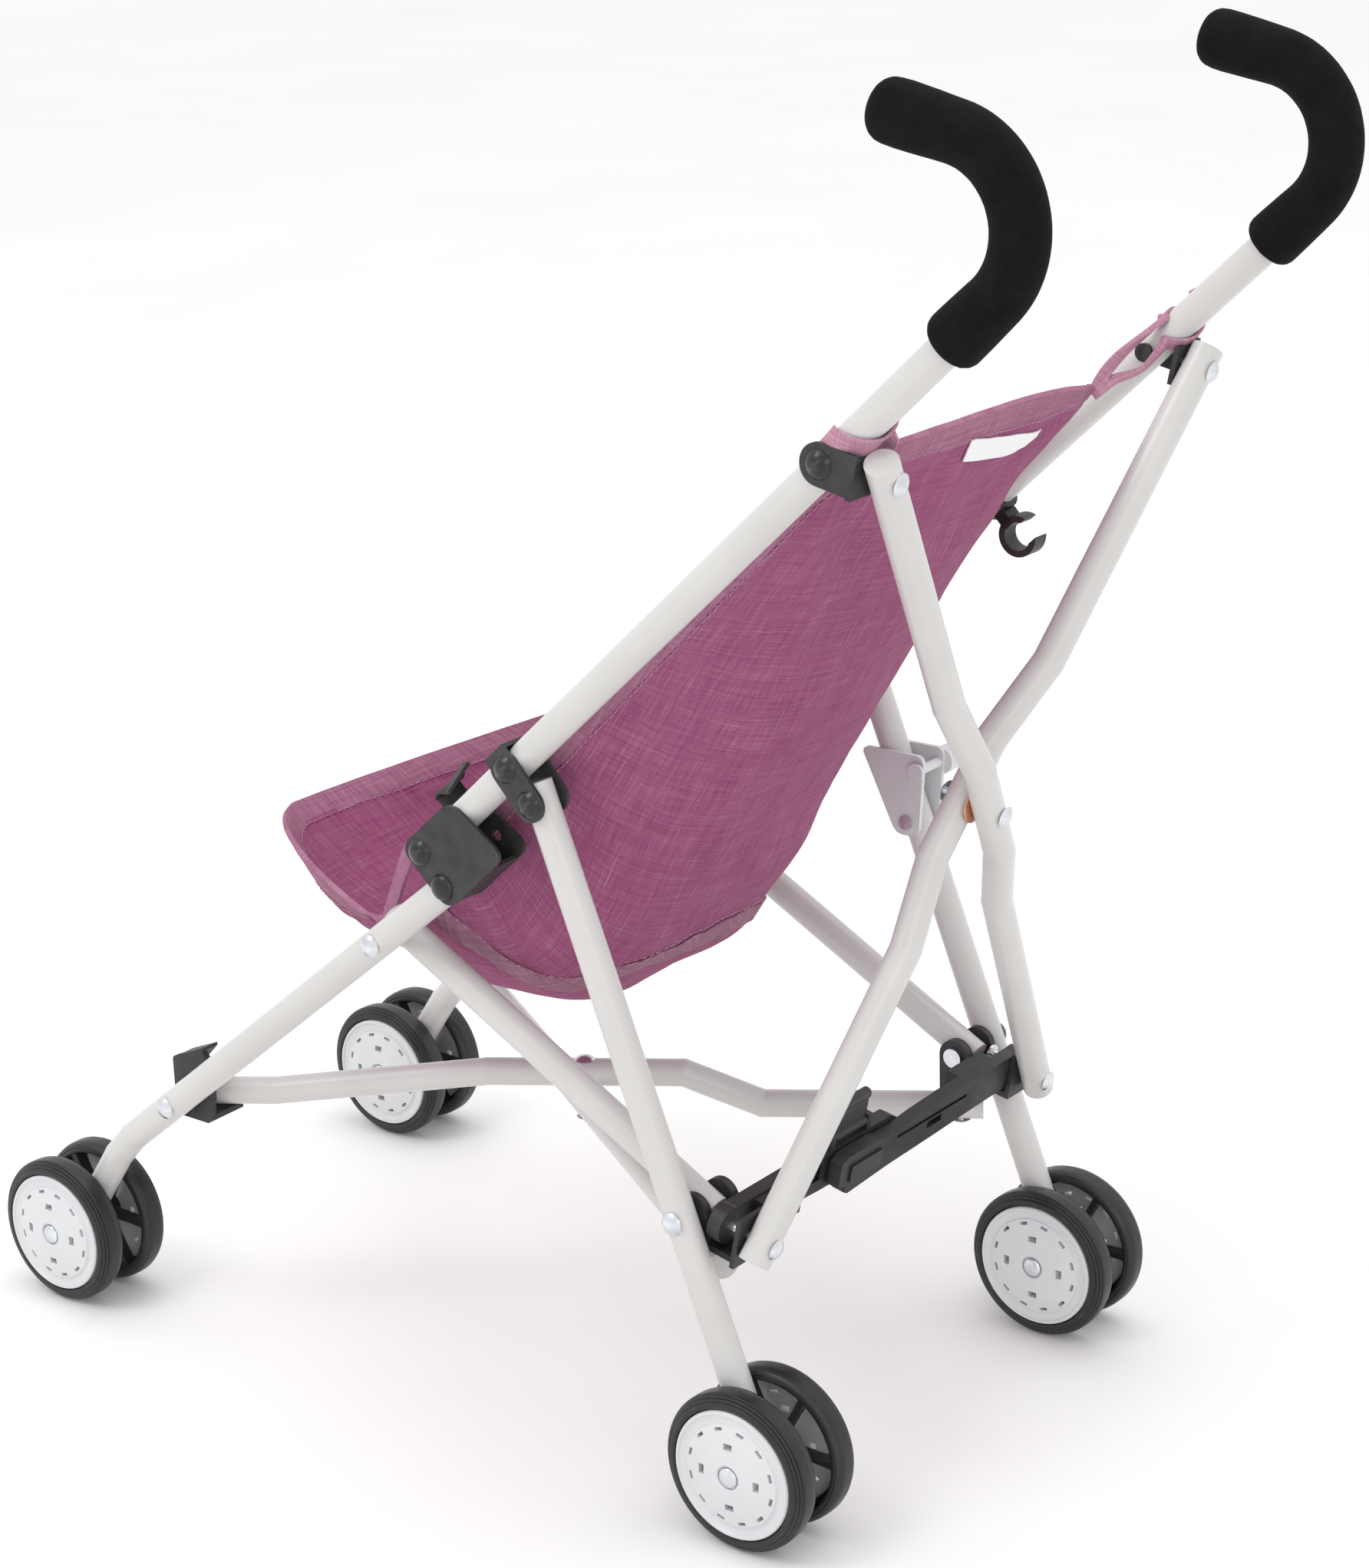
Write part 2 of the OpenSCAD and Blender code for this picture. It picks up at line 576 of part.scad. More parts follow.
floor_tube_p();  // floor_cross_tube_p
floor_tube_q();  // floor_cross_tube_q
back_rivets_a();
back_rivets_b();
floor_rivets_p();
floor_rivets_q();
lock_arm(1);  // lock_arm_left
lock_arm(-1);  // lock_arm_right
lock_lever();
side(-1) latch_plates();
side(-1) latch_knob();
side(-1) storage_clip();
seat_sling();
waist_belt();
push_rivets();  // push_rivets_left
side(-1) push_rivets();  // push_rivets_right
front_rivets();  // front_rivets_left
side(-1) front_rivets();  // front_rivets_right
rear_rivets();  // rear_rivets_left
side(-1) rear_rivets(true);  // rear_rivets_right
xo = side_x + tr + 0.3 + wheel_w/2;
xi = side_x - tr - 0.3 - wheel_w/2;
xwheel(xo, axle_f, true) wheel2();  // wheel_front_left_outer
xwheel(xi, axle_f, false) wheel2();  // wheel_front_left_inner
side(-1) xwheel(xo, axle_f, true) wheel2();  // wheel_front_right_outer
side(-1) xwheel(xi, axle_f, false) wheel2();  // wheel_front_right_inner
xwheel(xo, axle_r, true) wheel2();  // wheel_rear_left_outer
xwheel(xi, axle_r, false) wheel2();  // wheel_rear_left_inner
side(-1) xwheel(xo, axle_r, true) wheel2();  // wheel_rear_right_outer
side(-1) xwheel(xi, axle_r, false) wheel2();  // wheel_rear_right_inner
xwheel(xo, axle_f, true) cap_shape(true);  // cap_front_left_outer
xwheel(xi, axle_f, false) cap_shape(false);  // cap_front_left_inner
side(-1) xwheel(xo, axle_f, true) cap_shape(true);  // cap_front_right_outer
side(-1) xwheel(xi, axle_f, false) cap_shape(false);  // cap_front_right_inner
xwheel(xo, axle_r, true) cap_shape(true);  // cap_rear_left_outer
xwheel(xi, axle_r, false) cap_shape(false);  // cap_rear_left_inner
side(-1) xwheel(xo, axle_r, true) cap_shape(true);  // cap_rear_right_outer
side(-1) xwheel(xi, axle_r, false) cap_shape(false);  // cap_rear_right_inner
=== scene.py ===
import math

import bpy
from mathutils import Matrix, Vector, noise


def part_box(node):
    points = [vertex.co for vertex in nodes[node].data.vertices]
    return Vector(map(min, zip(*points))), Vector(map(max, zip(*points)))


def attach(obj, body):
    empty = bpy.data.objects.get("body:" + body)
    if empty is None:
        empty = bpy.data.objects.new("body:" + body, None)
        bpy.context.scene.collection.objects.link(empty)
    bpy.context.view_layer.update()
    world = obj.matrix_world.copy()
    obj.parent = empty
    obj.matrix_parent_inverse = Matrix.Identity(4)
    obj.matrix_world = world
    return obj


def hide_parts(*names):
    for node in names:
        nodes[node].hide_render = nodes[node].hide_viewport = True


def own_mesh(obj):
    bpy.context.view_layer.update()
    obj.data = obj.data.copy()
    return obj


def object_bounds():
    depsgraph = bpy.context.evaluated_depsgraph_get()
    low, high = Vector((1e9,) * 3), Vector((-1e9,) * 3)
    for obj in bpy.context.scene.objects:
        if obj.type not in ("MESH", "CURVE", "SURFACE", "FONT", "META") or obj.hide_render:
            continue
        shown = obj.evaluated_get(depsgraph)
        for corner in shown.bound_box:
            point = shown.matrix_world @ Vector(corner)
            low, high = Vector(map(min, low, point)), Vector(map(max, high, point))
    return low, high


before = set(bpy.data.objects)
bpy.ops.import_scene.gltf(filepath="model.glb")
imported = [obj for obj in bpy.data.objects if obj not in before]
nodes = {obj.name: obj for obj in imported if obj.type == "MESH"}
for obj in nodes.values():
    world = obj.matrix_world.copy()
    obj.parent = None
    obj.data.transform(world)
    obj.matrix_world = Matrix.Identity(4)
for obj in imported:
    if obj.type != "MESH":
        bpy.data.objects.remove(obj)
CAD_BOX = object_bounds()
scene = bpy.context.scene
MM = 0.001

# ---------------------------------------------------------------- frame
# The design frame is tied to the rear wheels: their axle sits 285 mm behind
# the design origin and 31 mm up, and the middle lies halfway between them.
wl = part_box("wheel_rear_left_outer")
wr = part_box("wheel_rear_right_outer")
MID = (wl[1][0] + wr[0][0]) / 2
AXY = (wl[0][1] + wl[1][1]) / 2
AXZ = (wl[0][2] + wl[1][2]) / 2
ORIGIN = Vector((MID, AXY - 131.8 * MM, AXZ - 31.0 * MM))


def F(x, y, z):
    """A point of the part's own frame, in millimetres, as metres of the row frame."""
    return ORIGIN + Vector((x, y, z)) * MM


def S(x, y, z):
    """A point of the seat's design frame (its origin lies 153.2 mm further back)."""
    return F(x, y + 153.2, z)


def d2(a):
    a = math.radians(a)
    return Vector((math.cos(a), math.sin(a)))


PUSH = 42.55
UP = d2(PUSH)
VP = Vector((-UP[1], UP[0]))
H = Vector((-12.8, 237.9))


def pu(a, b=0.0):
    return H + UP * a + VP * b


FD = d2(218.7)
R2 = pu(0, -15.5)
B0 = pu(59, -15.5)
T0 = pu(249)
AXLE_R = Vector((131.8, 31.0))
AXLE_F = Vector((-223.1, 31.0))
RD = (AXLE_R - B0).normalized()
R0 = B0 + RD * 160
dTR = T0 - R0
N0 = math.atan2(dTR[1], dTR[0]) - math.pi / 2 + math.asin((29.5 - 20.5) / dTR.length)
NV = Vector((math.cos(N0), math.sin(N0)))
MV = Vector((-NV[1], NV[0]))
C0 = R0 + NV * 29.5 + MV * 149.85

# ---------------------------------------------------------------- camera
yaw, pitch, roll = (math.radians(v) for v in (51.84, 18.50, -1.76))
look = Vector((-math.sin(yaw) * math.cos(pitch), -math.cos(yaw) * math.cos(pitch), -math.sin(pitch)))
right = look.cross(Vector((0, 0, 1))).normalized()
upv = right.cross(look)
cx = right * math.cos(roll) + upv * math.sin(roll)
cy = upv * math.cos(roll) - right * math.sin(roll)
cam_data = bpy.data.cameras.new("camera")
cam_data.sensor_fit = "HORIZONTAL"
cam_data.sensor_width = 36
cam_data.lens = 36 * 4557.8 / 1784
cam_data.clip_start = 0.05
cam_data.clip_end = 20
cam = bpy.data.objects.new("camera", cam_data)
scene.collection.objects.link(cam)
m = Matrix((cx, cy, -look)).transposed().to_4x4()
m.translation = F(1001.68, 813.18, 666.97)
cam.matrix_world = m
scene.camera = cam
scene.view_settings.view_transform = "Standard"

# ---------------------------------------------------------------- stage
world = bpy.data.worlds.new("studio")
scene.world = world
world.use_nodes = True
bg = world.node_tree.nodes["Background"]
bg.inputs["Color"].default_value = (1.0, 0.995, 0.99, 1)
bg.inputs["Strength"].default_value = 1.04


def area(name, loc, target, size, power, col=(1, 1, 1)):
    d = bpy.data.lights.new(name, "AREA")
    d.shape = "RECTANGLE"
    d.size, d.size_y = size
    d.energy = power
    d.color = col
    o = bpy.data.objects.new(name, d)
    scene.collection.objects.link(o)
    o.location = loc
    o.rotation_euler = (Vector(target) - Vector(loc)).to_track_quat("-Z", "Y").to_euler()
    return o


area("key", (1.2, -0.6, 1.9), (0, 0, 0.2), (0.9, 0.9), 9)
area("side", (1.5, 1.8, 1.0), (0, 0, 0.25), (0.8, 0.8), 4)
area("top", (-0.5, 0.2, 2.3), (0, 0, 0.2), (1.8, 1.8), 9)


# ---------------------------------------------------------------- materials
def new_mat(name):
    m = bpy.data.materials.new(name)
    m.use_nodes = True
    t = m.node_tree
    b = t.nodes["Principled BSDF"]
    return m, t, b


def node(t, kind, **kw):
    n = t.nodes.new(kind)
    for k, v in kw.items():
        setattr(n, k, v)
    return n


def noise_tex(t, vec, scale, detail=2.0, rough=0.5, dims="3D"):
    n = node(t, "ShaderNodeTexNoise", noise_dimensions=dims)
    n.inputs["Scale"].default_value = scale
    n.inputs["Detail"].default_value = detail
    n.inputs["Roughness"].default_value = rough
    if vec is not None:
        t.links.new(vec, n.inputs["Vector"])
    return n.outputs["Fac"]


def ramp(t, fac, stops):
    r = node(t, "ShaderNodeValToRGB")
    els = r.color_ramp.elements
    while len(els) < len(stops):
        els.new(0.5)
    for e, (p, c) in zip(els, stops):
        e.position = p
        e.color = (*c, 1) if len(c) == 3 else c
    t.links.new(fac, r.inputs["Fac"])
    return r.outputs["Color"]


def math_n(t, op, a, b=None, c=None, clamp=False):
    n = node(t, "ShaderNodeMath", operation=op, use_clamp=clamp)
    for i, v in enumerate((a, b, c)):
        if v is None:
            continue
        if isinstance(v, (int, float)):
            n.inputs[i].default_value = v
        else:
            t.links.new(v, n.inputs[i])
    return n.outputs[0]


def rough_map(t, b, fac, lo, hi):
    r = node(t, "ShaderNodeMapRange")
    r.inputs["To Min"].default_value = lo
    r.inputs["To Max"].default_value = hi
    t.links.new(fac, r.inputs["Value"])
    t.links.new(r.outputs["Result"], b.inputs["Roughness"])


def bump(t, b, height, strength, dist):
    n = node(t, "ShaderNodeBump")
    n.inputs["Strength"].default_value = strength
    n.inputs["Distance"].default_value = dist
    t.links.new(height, n.inputs["Height"])
    t.links.new(n.outputs["Normal"], b.inputs["Normal"])


def obj_vec(t):
    return node(t, "ShaderNodeTexCoord").outputs["Object"]


def edge_wear(t, lo=0.52, hi=0.62):
    """0 on flats, 1 along worn outer edges."""
    g = node(t, "ShaderNodeNewGeometry")
    r = node(t, "ShaderNodeMapRange")
    r.inputs["From Min"].default_value = lo
    r.inputs["From Max"].default_value = hi
    t.links.new(g.outputs["Pointiness"], r.inputs["Value"])
    return r.outputs["Result"]


def mix_col(t, fac, a, b):
    n = node(t, "ShaderNodeMix", data_type="RGBA")
    t.links.new(fac, n.inputs["Factor"])
    for sock, v in ((n.inputs[6], a), (n.inputs[7], b)):
        if isinstance(v, tuple):
            sock.default_value = (*v, 1)
        else:
            t.links.new(v, sock)
    return n.outputs[2]


def coated(name, dark, light, r_lo, r_hi, coat=0.25, peel=420, bump_s=0.05, dust=(0.62, 0.60, 0.57)):
    m, t, b = new_mat(name)
    v = obj_vec(t)
    col = ramp(t, noise_tex(t, v, 26, 3), [(0.3, dark), (0.7, light)])
    specks = math_n(t, "GREATER_THAN", noise_tex(t, v, 310, 1), 0.765)
    specks = math_n(t, "MULTIPLY", specks, 0.30)
    col = mix_col(t, specks, col, dust)
    t.links.new(col, b.inputs["Base Color"])
    rough_map(t, b, noise_tex(t, v, 60, 2), r_lo, r_hi)
    b.inputs["Coat Weight"].default_value = coat
    b.inputs["Coat Roughness"].default_value = 0.16
    b.inputs["Specular IOR Level"].default_value = 0.5
    bump(t, b, noise_tex(t, v, peel, 1), bump_s, 0.0004)
    return m


WHITE = coated("powder_white", (0.575, 0.565, 0.555), (0.61, 0.60, 0.59), 0.26, 0.38, dust=(0.50, 0.49, 0.47))
CAPW = coated("moulded_white", (0.63, 0.645, 0.665), (0.67, 0.68, 0.695), 0.30, 0.42, coat=0.1, peel=900, bump_s=0.04, dust=(0.56, 0.56, 0.57))


def plastic(name, dark, light, wear, r_lo, r_hi, grain=900, bump_s=0.18):
    m, t, b = new_mat(name)
    v = obj_vec(t)
    col = ramp(t, noise_tex(t, v, 70, 3), [(0.35, dark), (0.7, light)])
    scuff = math_n(t, "MULTIPLY", edge_wear(t), noise_tex(t, v, 140, 2))
    col = mix_col(t, scuff, col, wear)
    t.links.new(col, b.inputs["Base Color"])
    rough_map(t, b, noise_tex(t, v, 120, 2), r_lo, r_hi)
    b.inputs["Specular IOR Level"].default_value = 0.45
    bump(t, b, noise_tex(t, v, grain, 2), bump_s, 0.0003)
    return m


BLACK = plastic("moulded_black", (0.006, 0.006, 0.0065), (0.010, 0.010, 0.0105), (0.05, 0.05, 0.05), 0.42, 0.58)
RIVET_BLACK = plastic("rivet_black", (0.008, 0.008, 0.009), (0.014, 0.014, 0.015), (0.06, 0.06, 0.06), 0.16, 0.28, grain=500, bump_s=0.05)
TREAD = plastic("tread_black", (0.010, 0.010, 0.011), (0.017, 0.017, 0.018), (0.05, 0.05, 0.05), 0.30, 0.44, grain=700, bump_s=0.08)


def metal(name, a, b_col, r_lo, r_hi, grain=300):
    m, t, b = new_mat(name)
    v = obj_vec(t)
    t.links.new(ramp(t, noise_tex(t, v, 180, 4), [(0.3, a), (0.7, b_col)]), b.inputs["Base Color"])
    b.inputs["Metallic"].default_value = 1.0
    rough_map(t, b, noise_tex(t, v, grain, 3), r_lo, r_hi)
    bump(t, b, noise_tex(t, v, grain * 3, 2), 0.06, 0.0002)
    return m


ZINC = metal("zinc", (0.60, 0.63, 0.67), (0.78, 0.80, 0.83), 0.18, 0.36)
COPPER = metal("copper", (0.62, 0.30, 0.18), (0.80, 0.44, 0.28), 0.25, 0.42)


def foam_mat():
    m, t, b = new_mat("foam_black")
    v = obj_vec(t)
    cells = node(t, "ShaderNodeTexVoronoi")
    cells.inputs["Scale"].default_value = 1500
    t.links.new(v, cells.inputs["Vector"])
    n = noise_tex(t, v, 260, 4, 0.7)
    t.links.new(ramp(t, noise_tex(t, v, 90, 4, 0.7), [(0.3, (0.0045, 0.0045, 0.005)), (0.75, (0.0095, 0.009, 0.010))]), b.inputs["Base Color"])
    rough_map(t, b, n, 0.82, 0.97)
    b.inputs["Specular IOR Level"].default_value = 0.10
    b.inputs["Sheen Weight"].default_value = 0.01
    b.inputs["Sheen Roughness"].default_value = 0.5
    h = math_n(t, "ADD", math_n(t, "MULTIPLY", cells.outputs["Distance"], -0.6), n)
    bump(t, b, h, 0.55, 0.0006)
    return m


FOAM = foam_mat()


def cloth_mat(name, dark, mid, light, pitch_mm=0.62, turn=0.0, rough=(0.78, 0.92)):
    """Woven linen-look cloth with slub threads both ways; UVs are in metres."""
    m, t, b = new_mat(name)
    uv = node(t, "ShaderNodeUVMap")
    mp = node(t, "ShaderNodeMapping")
    mp.inputs["Rotation"].default_value = (0, 0, math.radians(turn))
    t.links.new(uv.outputs["UV"], mp.inputs["Vector"])
    sep = node(t, "ShaderNodeSeparateXYZ")
    t.links.new(mp.outputs["Vector"], sep.inputs["Vector"])
    u, v = sep.outputs["X"], sep.outputs["Y"]

    def streak(su, sv, seed):
        c = node(t, "ShaderNodeCombineXYZ")
        t.links.new(math_n(t, "MULTIPLY", u, su), c.inputs["X"])
        t.links.new(math_n(t, "MULTIPLY", v, sv), c.inputs["Y"])
        c.inputs["Z"].default_value = seed
        return noise_tex(t, c.outputs["Vector"], 1.0, 2.0, 0.6)

    warp = streak(1900.0, 60.0, 1.3)
    weft = streak(60.0, 1900.0, 7.9)
    warp2 = streak(700.0, 26.0, 3.1)
    weft2 = streak(26.0, 700.0, 9.2)
    blot = streak(60.0, 60.0, 5.5)
    s = math_n(t, "ADD", math_n(t, "MULTIPLY", warp, 0.30), math_n(t, "MULTIPLY", weft, 0.30))
    s = math_n(t, "ADD", s, math_n(t, "MULTIPLY", math_n(t, "ADD", warp2, weft2), 0.17))
    s = math_n(t, "ADD", s, math_n(t, "MULTIPLY", blot, 0.10))
    col = ramp(t, s, [(0.405, dark), (0.515, mid), (0.645, light)])
    slub = math_n(t, "MAXIMUM", streak(1500.0, 26.0, 12.7), streak(26.0, 1500.0, 15.1))
    slub = math_n(t, "MULTIPLY", math_n(t, "SUBTRACT", slub, 0.66, clamp=True), 3.4, clamp=True)
    col = mix_col(t, slub, col, tuple(0.35 + 0.6 * x for x in light))
    t.links.new(col, b.inputs["Base Color"])
    k = 2 * math.pi / (pitch_mm * MM)
    wu = math_n(t, "SINE", math_n(t, "MULTIPLY", u, k))
    wv = math_n(t, "SINE", math_n(t, "MULTIPLY", v, k))
    weave = math_n(t, "MULTIPLY", wu, wv)
    h = math_n(t, "ADD", math_n(t, "MULTIPLY", weave, 0.35), math_n(t, "MULTIPLY", s, 1.6))
    bump(t, b, h, 0.42, 0.00045)
    rough_map(t, b, blot, *rough)
    b.inputs["Specular IOR Level"].default_value = 0.2
    b.inputs["Sheen Weight"].default_value = 0.04
    b.inputs["Sheen Roughness"].default_value = 0.45
    b.inputs["Sheen Tint"].default_value = (1.0, 0.82, 0.92, 1)
    return m


CLOTH = cloth_mat("cloth_magenta", (0.235, 0.050, 0.130), (0.300, 0.080, 0.176), (0.375, 0.140, 0.242))
HEM = cloth_mat("cloth_hem", (0.255, 0.085, 0.160), (0.335, 0.135, 0.220), (0.430, 0.220, 0.305))
BIAS = cloth_mat("cloth_bias", (0.215, 0.085, 0.135), (0.300, 0.135, 0.200), (0.42, 0.240, 0.310), turn=45)
LOOP = cloth_mat("cloth_loop", (0.36, 0.150, 0.235), (0.46, 0.235, 0.325), (0.58, 0.36, 0.44), turn=0)


def thread_mat(name, a, b_col):
    m, t, b = new_mat(name)
    v = obj_vec(t)
    t.links.new(ramp(t, noise_tex(t, v, 700, 2), [(0.3, a), (0.7, b_col)]), b.inputs["Base Color"])
    rough_map(t, b, noise_tex(t, v, 300, 2), 0.55, 0.75)
    w = node(t, "ShaderNodeTexWave", bands_direction="DIAGONAL")
    w.inputs["Scale"].default_value = 900
    t.links.new(v, w.inputs["Vector"])
    bump(t, b, w.outputs["Fac"], 0.3, 0.0001)
    return m


THREAD = thread_mat("stitch_pink", (0.36, 0.14, 0.24), (0.48, 0.22, 0.34))


def webbing_mat():
    m, t, b = new_mat("webbing_black")
    uv = node(t, "ShaderNodeUVMap")
    sep = node(t, "ShaderNodeSeparateXYZ")
    t.links.new(uv.outputs["UV"], sep.inputs["Vector"])
    u, v = sep.outputs["X"], sep.outputs["Y"]
    a = math_n(t, "SINE", math_n(t, "MULTIPLY", u, 2 * math.pi / 0.0015))
    c = math_n(t, "SINE", math_n(t, "MULTIPLY", math_n(t, "ADD", v, math_n(t, "MULTIPLY", u, 0.5)), 2 * math.pi / 0.0011))
    h = math_n(t, "ADD", math_n(t, "ABSOLUTE", a), math_n(t, "MULTIPLY", c, 0.5))
    n = noise_tex(t, uv.outputs["UV"], 500, 3)
    t.links.new(ramp(t, n, [(0.3, (0.010, 0.010, 0.011)), (0.7, (0.024, 0.023, 0.024))]), b.inputs["Base Color"])
    rough_map(t, b, n, 0.62, 0.82)
    bump(t, b, h, 0.5, 0.0004)
    b.inputs["Sheen Weight"].default_value = 0.08
    return m


WEB = webbing_mat()


def label_mat():
    m, t, b = new_mat("label_white")
    uv = node(t, "ShaderNodeUVMap")
    n = noise_tex(t, uv.outputs["UV"], 900, 3)
    t.links.new(ramp(t, n, [(0.3, (0.80, 0.80, 0.82)), (0.7, (0.88, 0.88, 0.89))]), b.inputs["Base Color"])
    rough_map(t, b, n, 0.32, 0.5)
    sep = node(t, "ShaderNodeSeparateXYZ")
    t.links.new(uv.outputs["UV"], sep.inputs["Vector"])
    w = math_n(t, "SINE", math_n(t, "MULTIPLY", sep.outputs["Y"], 2 * math.pi / 0.0006))
    bump(t, b, math_n(t, "ADD", w, n), 0.08, 0.0002)
    return m


LABEL = label_mat()


def floor_mat():
    m, t, b = new_mat("floor_pale")
    v = obj_vec(t)
    t.links.new(ramp(t, noise_tex(t, v, 3, 3), [(0.3, (0.90, 0.895, 0.89)), (0.7, (0.93, 0.925, 0.92))]), b.inputs["Base Color"])
    rough_map(t, b, noise_tex(t, v, 20, 3), 0.55, 0.7)
    b.inputs["Specular IOR Level"].default_value = 0.2
    return m


bpy.ops.mesh.primitive_plane_add(size=14, location=(0, 0, CAD_BOX[0][2] - 0.0003))
floor = bpy.context.object
floor.name = "floor"
floor.data.materials.append(floor_mat())

PAINT = [
    (("push_tube", "front_leg", "rear_leg", "side_link", "back_cross", "floor_cross"), WHITE),
    (("hinge_plate", "side_bracket", "rear_bracket", "floor_knuckle", "top_bracket", "front_bracket", "lock_", "storage_clip"), BLACK),
    (("back_rivets", "floor_rivets", "front_rivets", "rear_rivets"), ZINC),
    (("push_rivets",), RIVET_BLACK),
    (("latch_plates", "latch_knob", "cap_"), CAPW),
    (("wheel_",), TREAD),
    (("grip_",), FOAM),
    (("seat_sling",), HEM),
    (("waist_belt",), WEB),
]
for name, o in nodes.items():
    for heads, mat in PAINT:
        if name.startswith(heads):
            o.data.materials.clear()
            o.data.materials.append(mat)


# ---------------------------------------------------------------- mesh helpers
def make(name, verts, faces, mats, body, uvs=None, sharp=40, mat_ids=None):
    me = bpy.data.meshes.new(name)
    me.from_pydata([tuple(v) for v in verts], [], faces)
    if uvs is not None:
        layer = me.uv_layers.new(name="UVMap")
        for loop in me.loops:
            layer.data[loop.index].uv = uvs[loop.vertex_index]
    for mt in mats if isinstance(mats, (list, tuple)) else [mats]:
        me.materials.append(mt)
    if mat_ids is not None:
        me.polygons.foreach_set("material_index", mat_ids)
    me.polygons.foreach_set("use_smooth", [True] * len(me.polygons))
    me.update()
    me.set_sharp_from_angle(angle=math.radians(sharp))
    o = bpy.data.objects.new(name, me)
    scene.collection.objects.link(o)
    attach(o, body)
    return o


def perp(d):
    a = Vector((1, 0, 0)) if abs(d[0]) < 0.8 else Vector((0, 0, 1))
    return d.cross(a).normalized()


def frames(pts):
    """Rotation-minimising frames along points: (point, tangent, normal, binormal)."""
    out = []
    n = None
    for i, p in enumerate(pts):
        a, b = pts[max(i - 1, 0)], pts[min(i + 1, len(pts) - 1)]
        t = (b - a).normalized()
        if n is None:
            n = perp(t)
        n = (n - t * n.dot(t)).normalized()
        out.append((p, t, n, t.cross(n)))
    return out


def tube(pts, radii, seg=32):
    """Closed tube along points; each radius may be zero at the ends."""
    verts, faces = [], []
    fr = frames(pts)
    rings = []
    for (p, t, n, b), r in zip(fr, radii):
        if r <= 1e-9:
            rings.append([len(verts)])
            verts.append(p)
        else:
            base = len(verts)
            for k in range(seg):
                a = 2 * math.pi * k / seg
                verts.append(p + n * (r * math.cos(a)) + b * (r * math.sin(a)))
            rings.append(list(range(base, base + seg)))
    for a, b in zip(rings, rings[1:]):
        if len(a) == 1 and len(b) == 1:
            continue
        if len(a) == 1:
            faces += [(a[0], b[(k + 1) % seg], b[k]) for k in range(seg)]
        elif len(b) == 1:
            faces += [(a[k], a[(k + 1) % seg], b[0]) for k in range(seg)]
        else:
            faces += [(a[k], a[(k + 1) % seg], b[(k + 1) % seg], b[k]) for k in range(seg)]
    if len(rings[0]) > 1:
        faces.append(tuple(reversed(rings[0])))
    if len(rings[-1]) > 1:
        faces.append(tuple(rings[-1]))
    return verts, [tuple(reversed(f)) for f in faces]


def lathe(profile, seg, place, closed=False):
    """Revolves (r, h) points; place(r, angle, h) gives the vertex. Ends on the axis close it."""
    verts, faces, rings = [], [], []
    for r, h in profile:
        if r <= 1e-9:
            rings.append([len(verts)])
            verts.append(place(0, 0, h))
        else:
            base = len(verts)
            verts += [place(r, 2 * math.pi * k / seg, h) for k in range(seg)]
            rings.append(list(range(base, base + seg)))
    pairs = list(zip(rings, rings[1:]))
    if closed:
        pairs.append((rings[-1], rings[0]))
    for a, b in pairs:
        if len(a) == 1 and len(b) == 1:
            continue
        for k in range(seg):
            k1 = (k + 1) % seg
            if len(a) == 1:
                faces.append((a[0], b[k1], b[k]))
            elif len(b) == 1:
                faces.append((a[k], a[k1], b[0]))
            else:
                faces.append((a[k], a[k1], b[k1], b[k]))
    return verts, faces


def join(parts):
    verts, faces = [], []
    for v, f in parts:
        base = len(verts)
        verts += v
        faces += [tuple(i + base for i in q) for q in f]
    return verts, faces


def outward(o):
    """Makes a closed mesh's faces all point out."""
    import bmesh

    bm = bmesh.new()
    bm.from_mesh(o.data)
    bmesh.ops.recalc_face_normals(bm, faces=bm.faces)
    bm.to_mesh(o.data)
    bm.free()
    return o


def strip(pts, sides, width, thick, arch=0.0):
    """A flat band along points: sides gives the direction across it at each point.
    Returns verts, faces, uvs of a closed band with rounded edges."""
    prof = [(-0.5, 0.0), (-0.47, 0.5), (-0.25, 0.5 + arch * 0.7), (0, 0.5 + arch), (0.25, 0.5 + arch * 0.7), (0.47, 0.5),
            (0.5, 0.0), (0.47, -0.5), (0.25, -0.5), (0, -0.5), (-0.25, -0.5), (-0.47, -0.5)]
    verts, faces, uvs = [], [], []
    run = 0.0
    k = len(prof)
    for i, p in enumerate(pts):
        a, b = pts[max(i - 1, 0)], pts[min(i + 1, len(pts) - 1)]
        t = (b - a).normalized()
        s = Vector(sides[i])
        s = (s - t * s.dot(t)).normalized()
        n = t.cross(s)
        if i:
            run += (p - pts[i - 1]).length
        for x, y in prof:
            verts.append(p + s * (x * width) + n * (y * thick))
            uvs.append((x * width, run))
    for i in range(len(pts) - 1):
        for j in range(k):
            a, b = i * k + j, i * k + (j + 1) % k
            faces.append((a, b, b + k, a + k))
    faces.append(tuple(range(k - 1, -1, -1)))
    faces.append(tuple(range((len(pts) - 1) * k, len(pts) * k)))
    return verts, faces, uvs


def smooth(pts, n):
    """Catmull-Rom through points, n steps a span."""
    q = [Vector(p) for p in pts]
    q = [q[0] * 2 - q[1]] + q + [q[-1] * 2 - q[-2]]
    out = []
    for i in range(1, len(q) - 2):
        a, b, c, d = q[i - 1:i + 3]
        for k in range(n):
            t = k / n
            out.append(0.5 * ((2 * b) + (c - a) * t + (2 * a - 5 * b + 4 * c - d) * t * t + (3 * b - a - 3 * c + d) * t ** 3))
    out.append(q[-2])
    return out


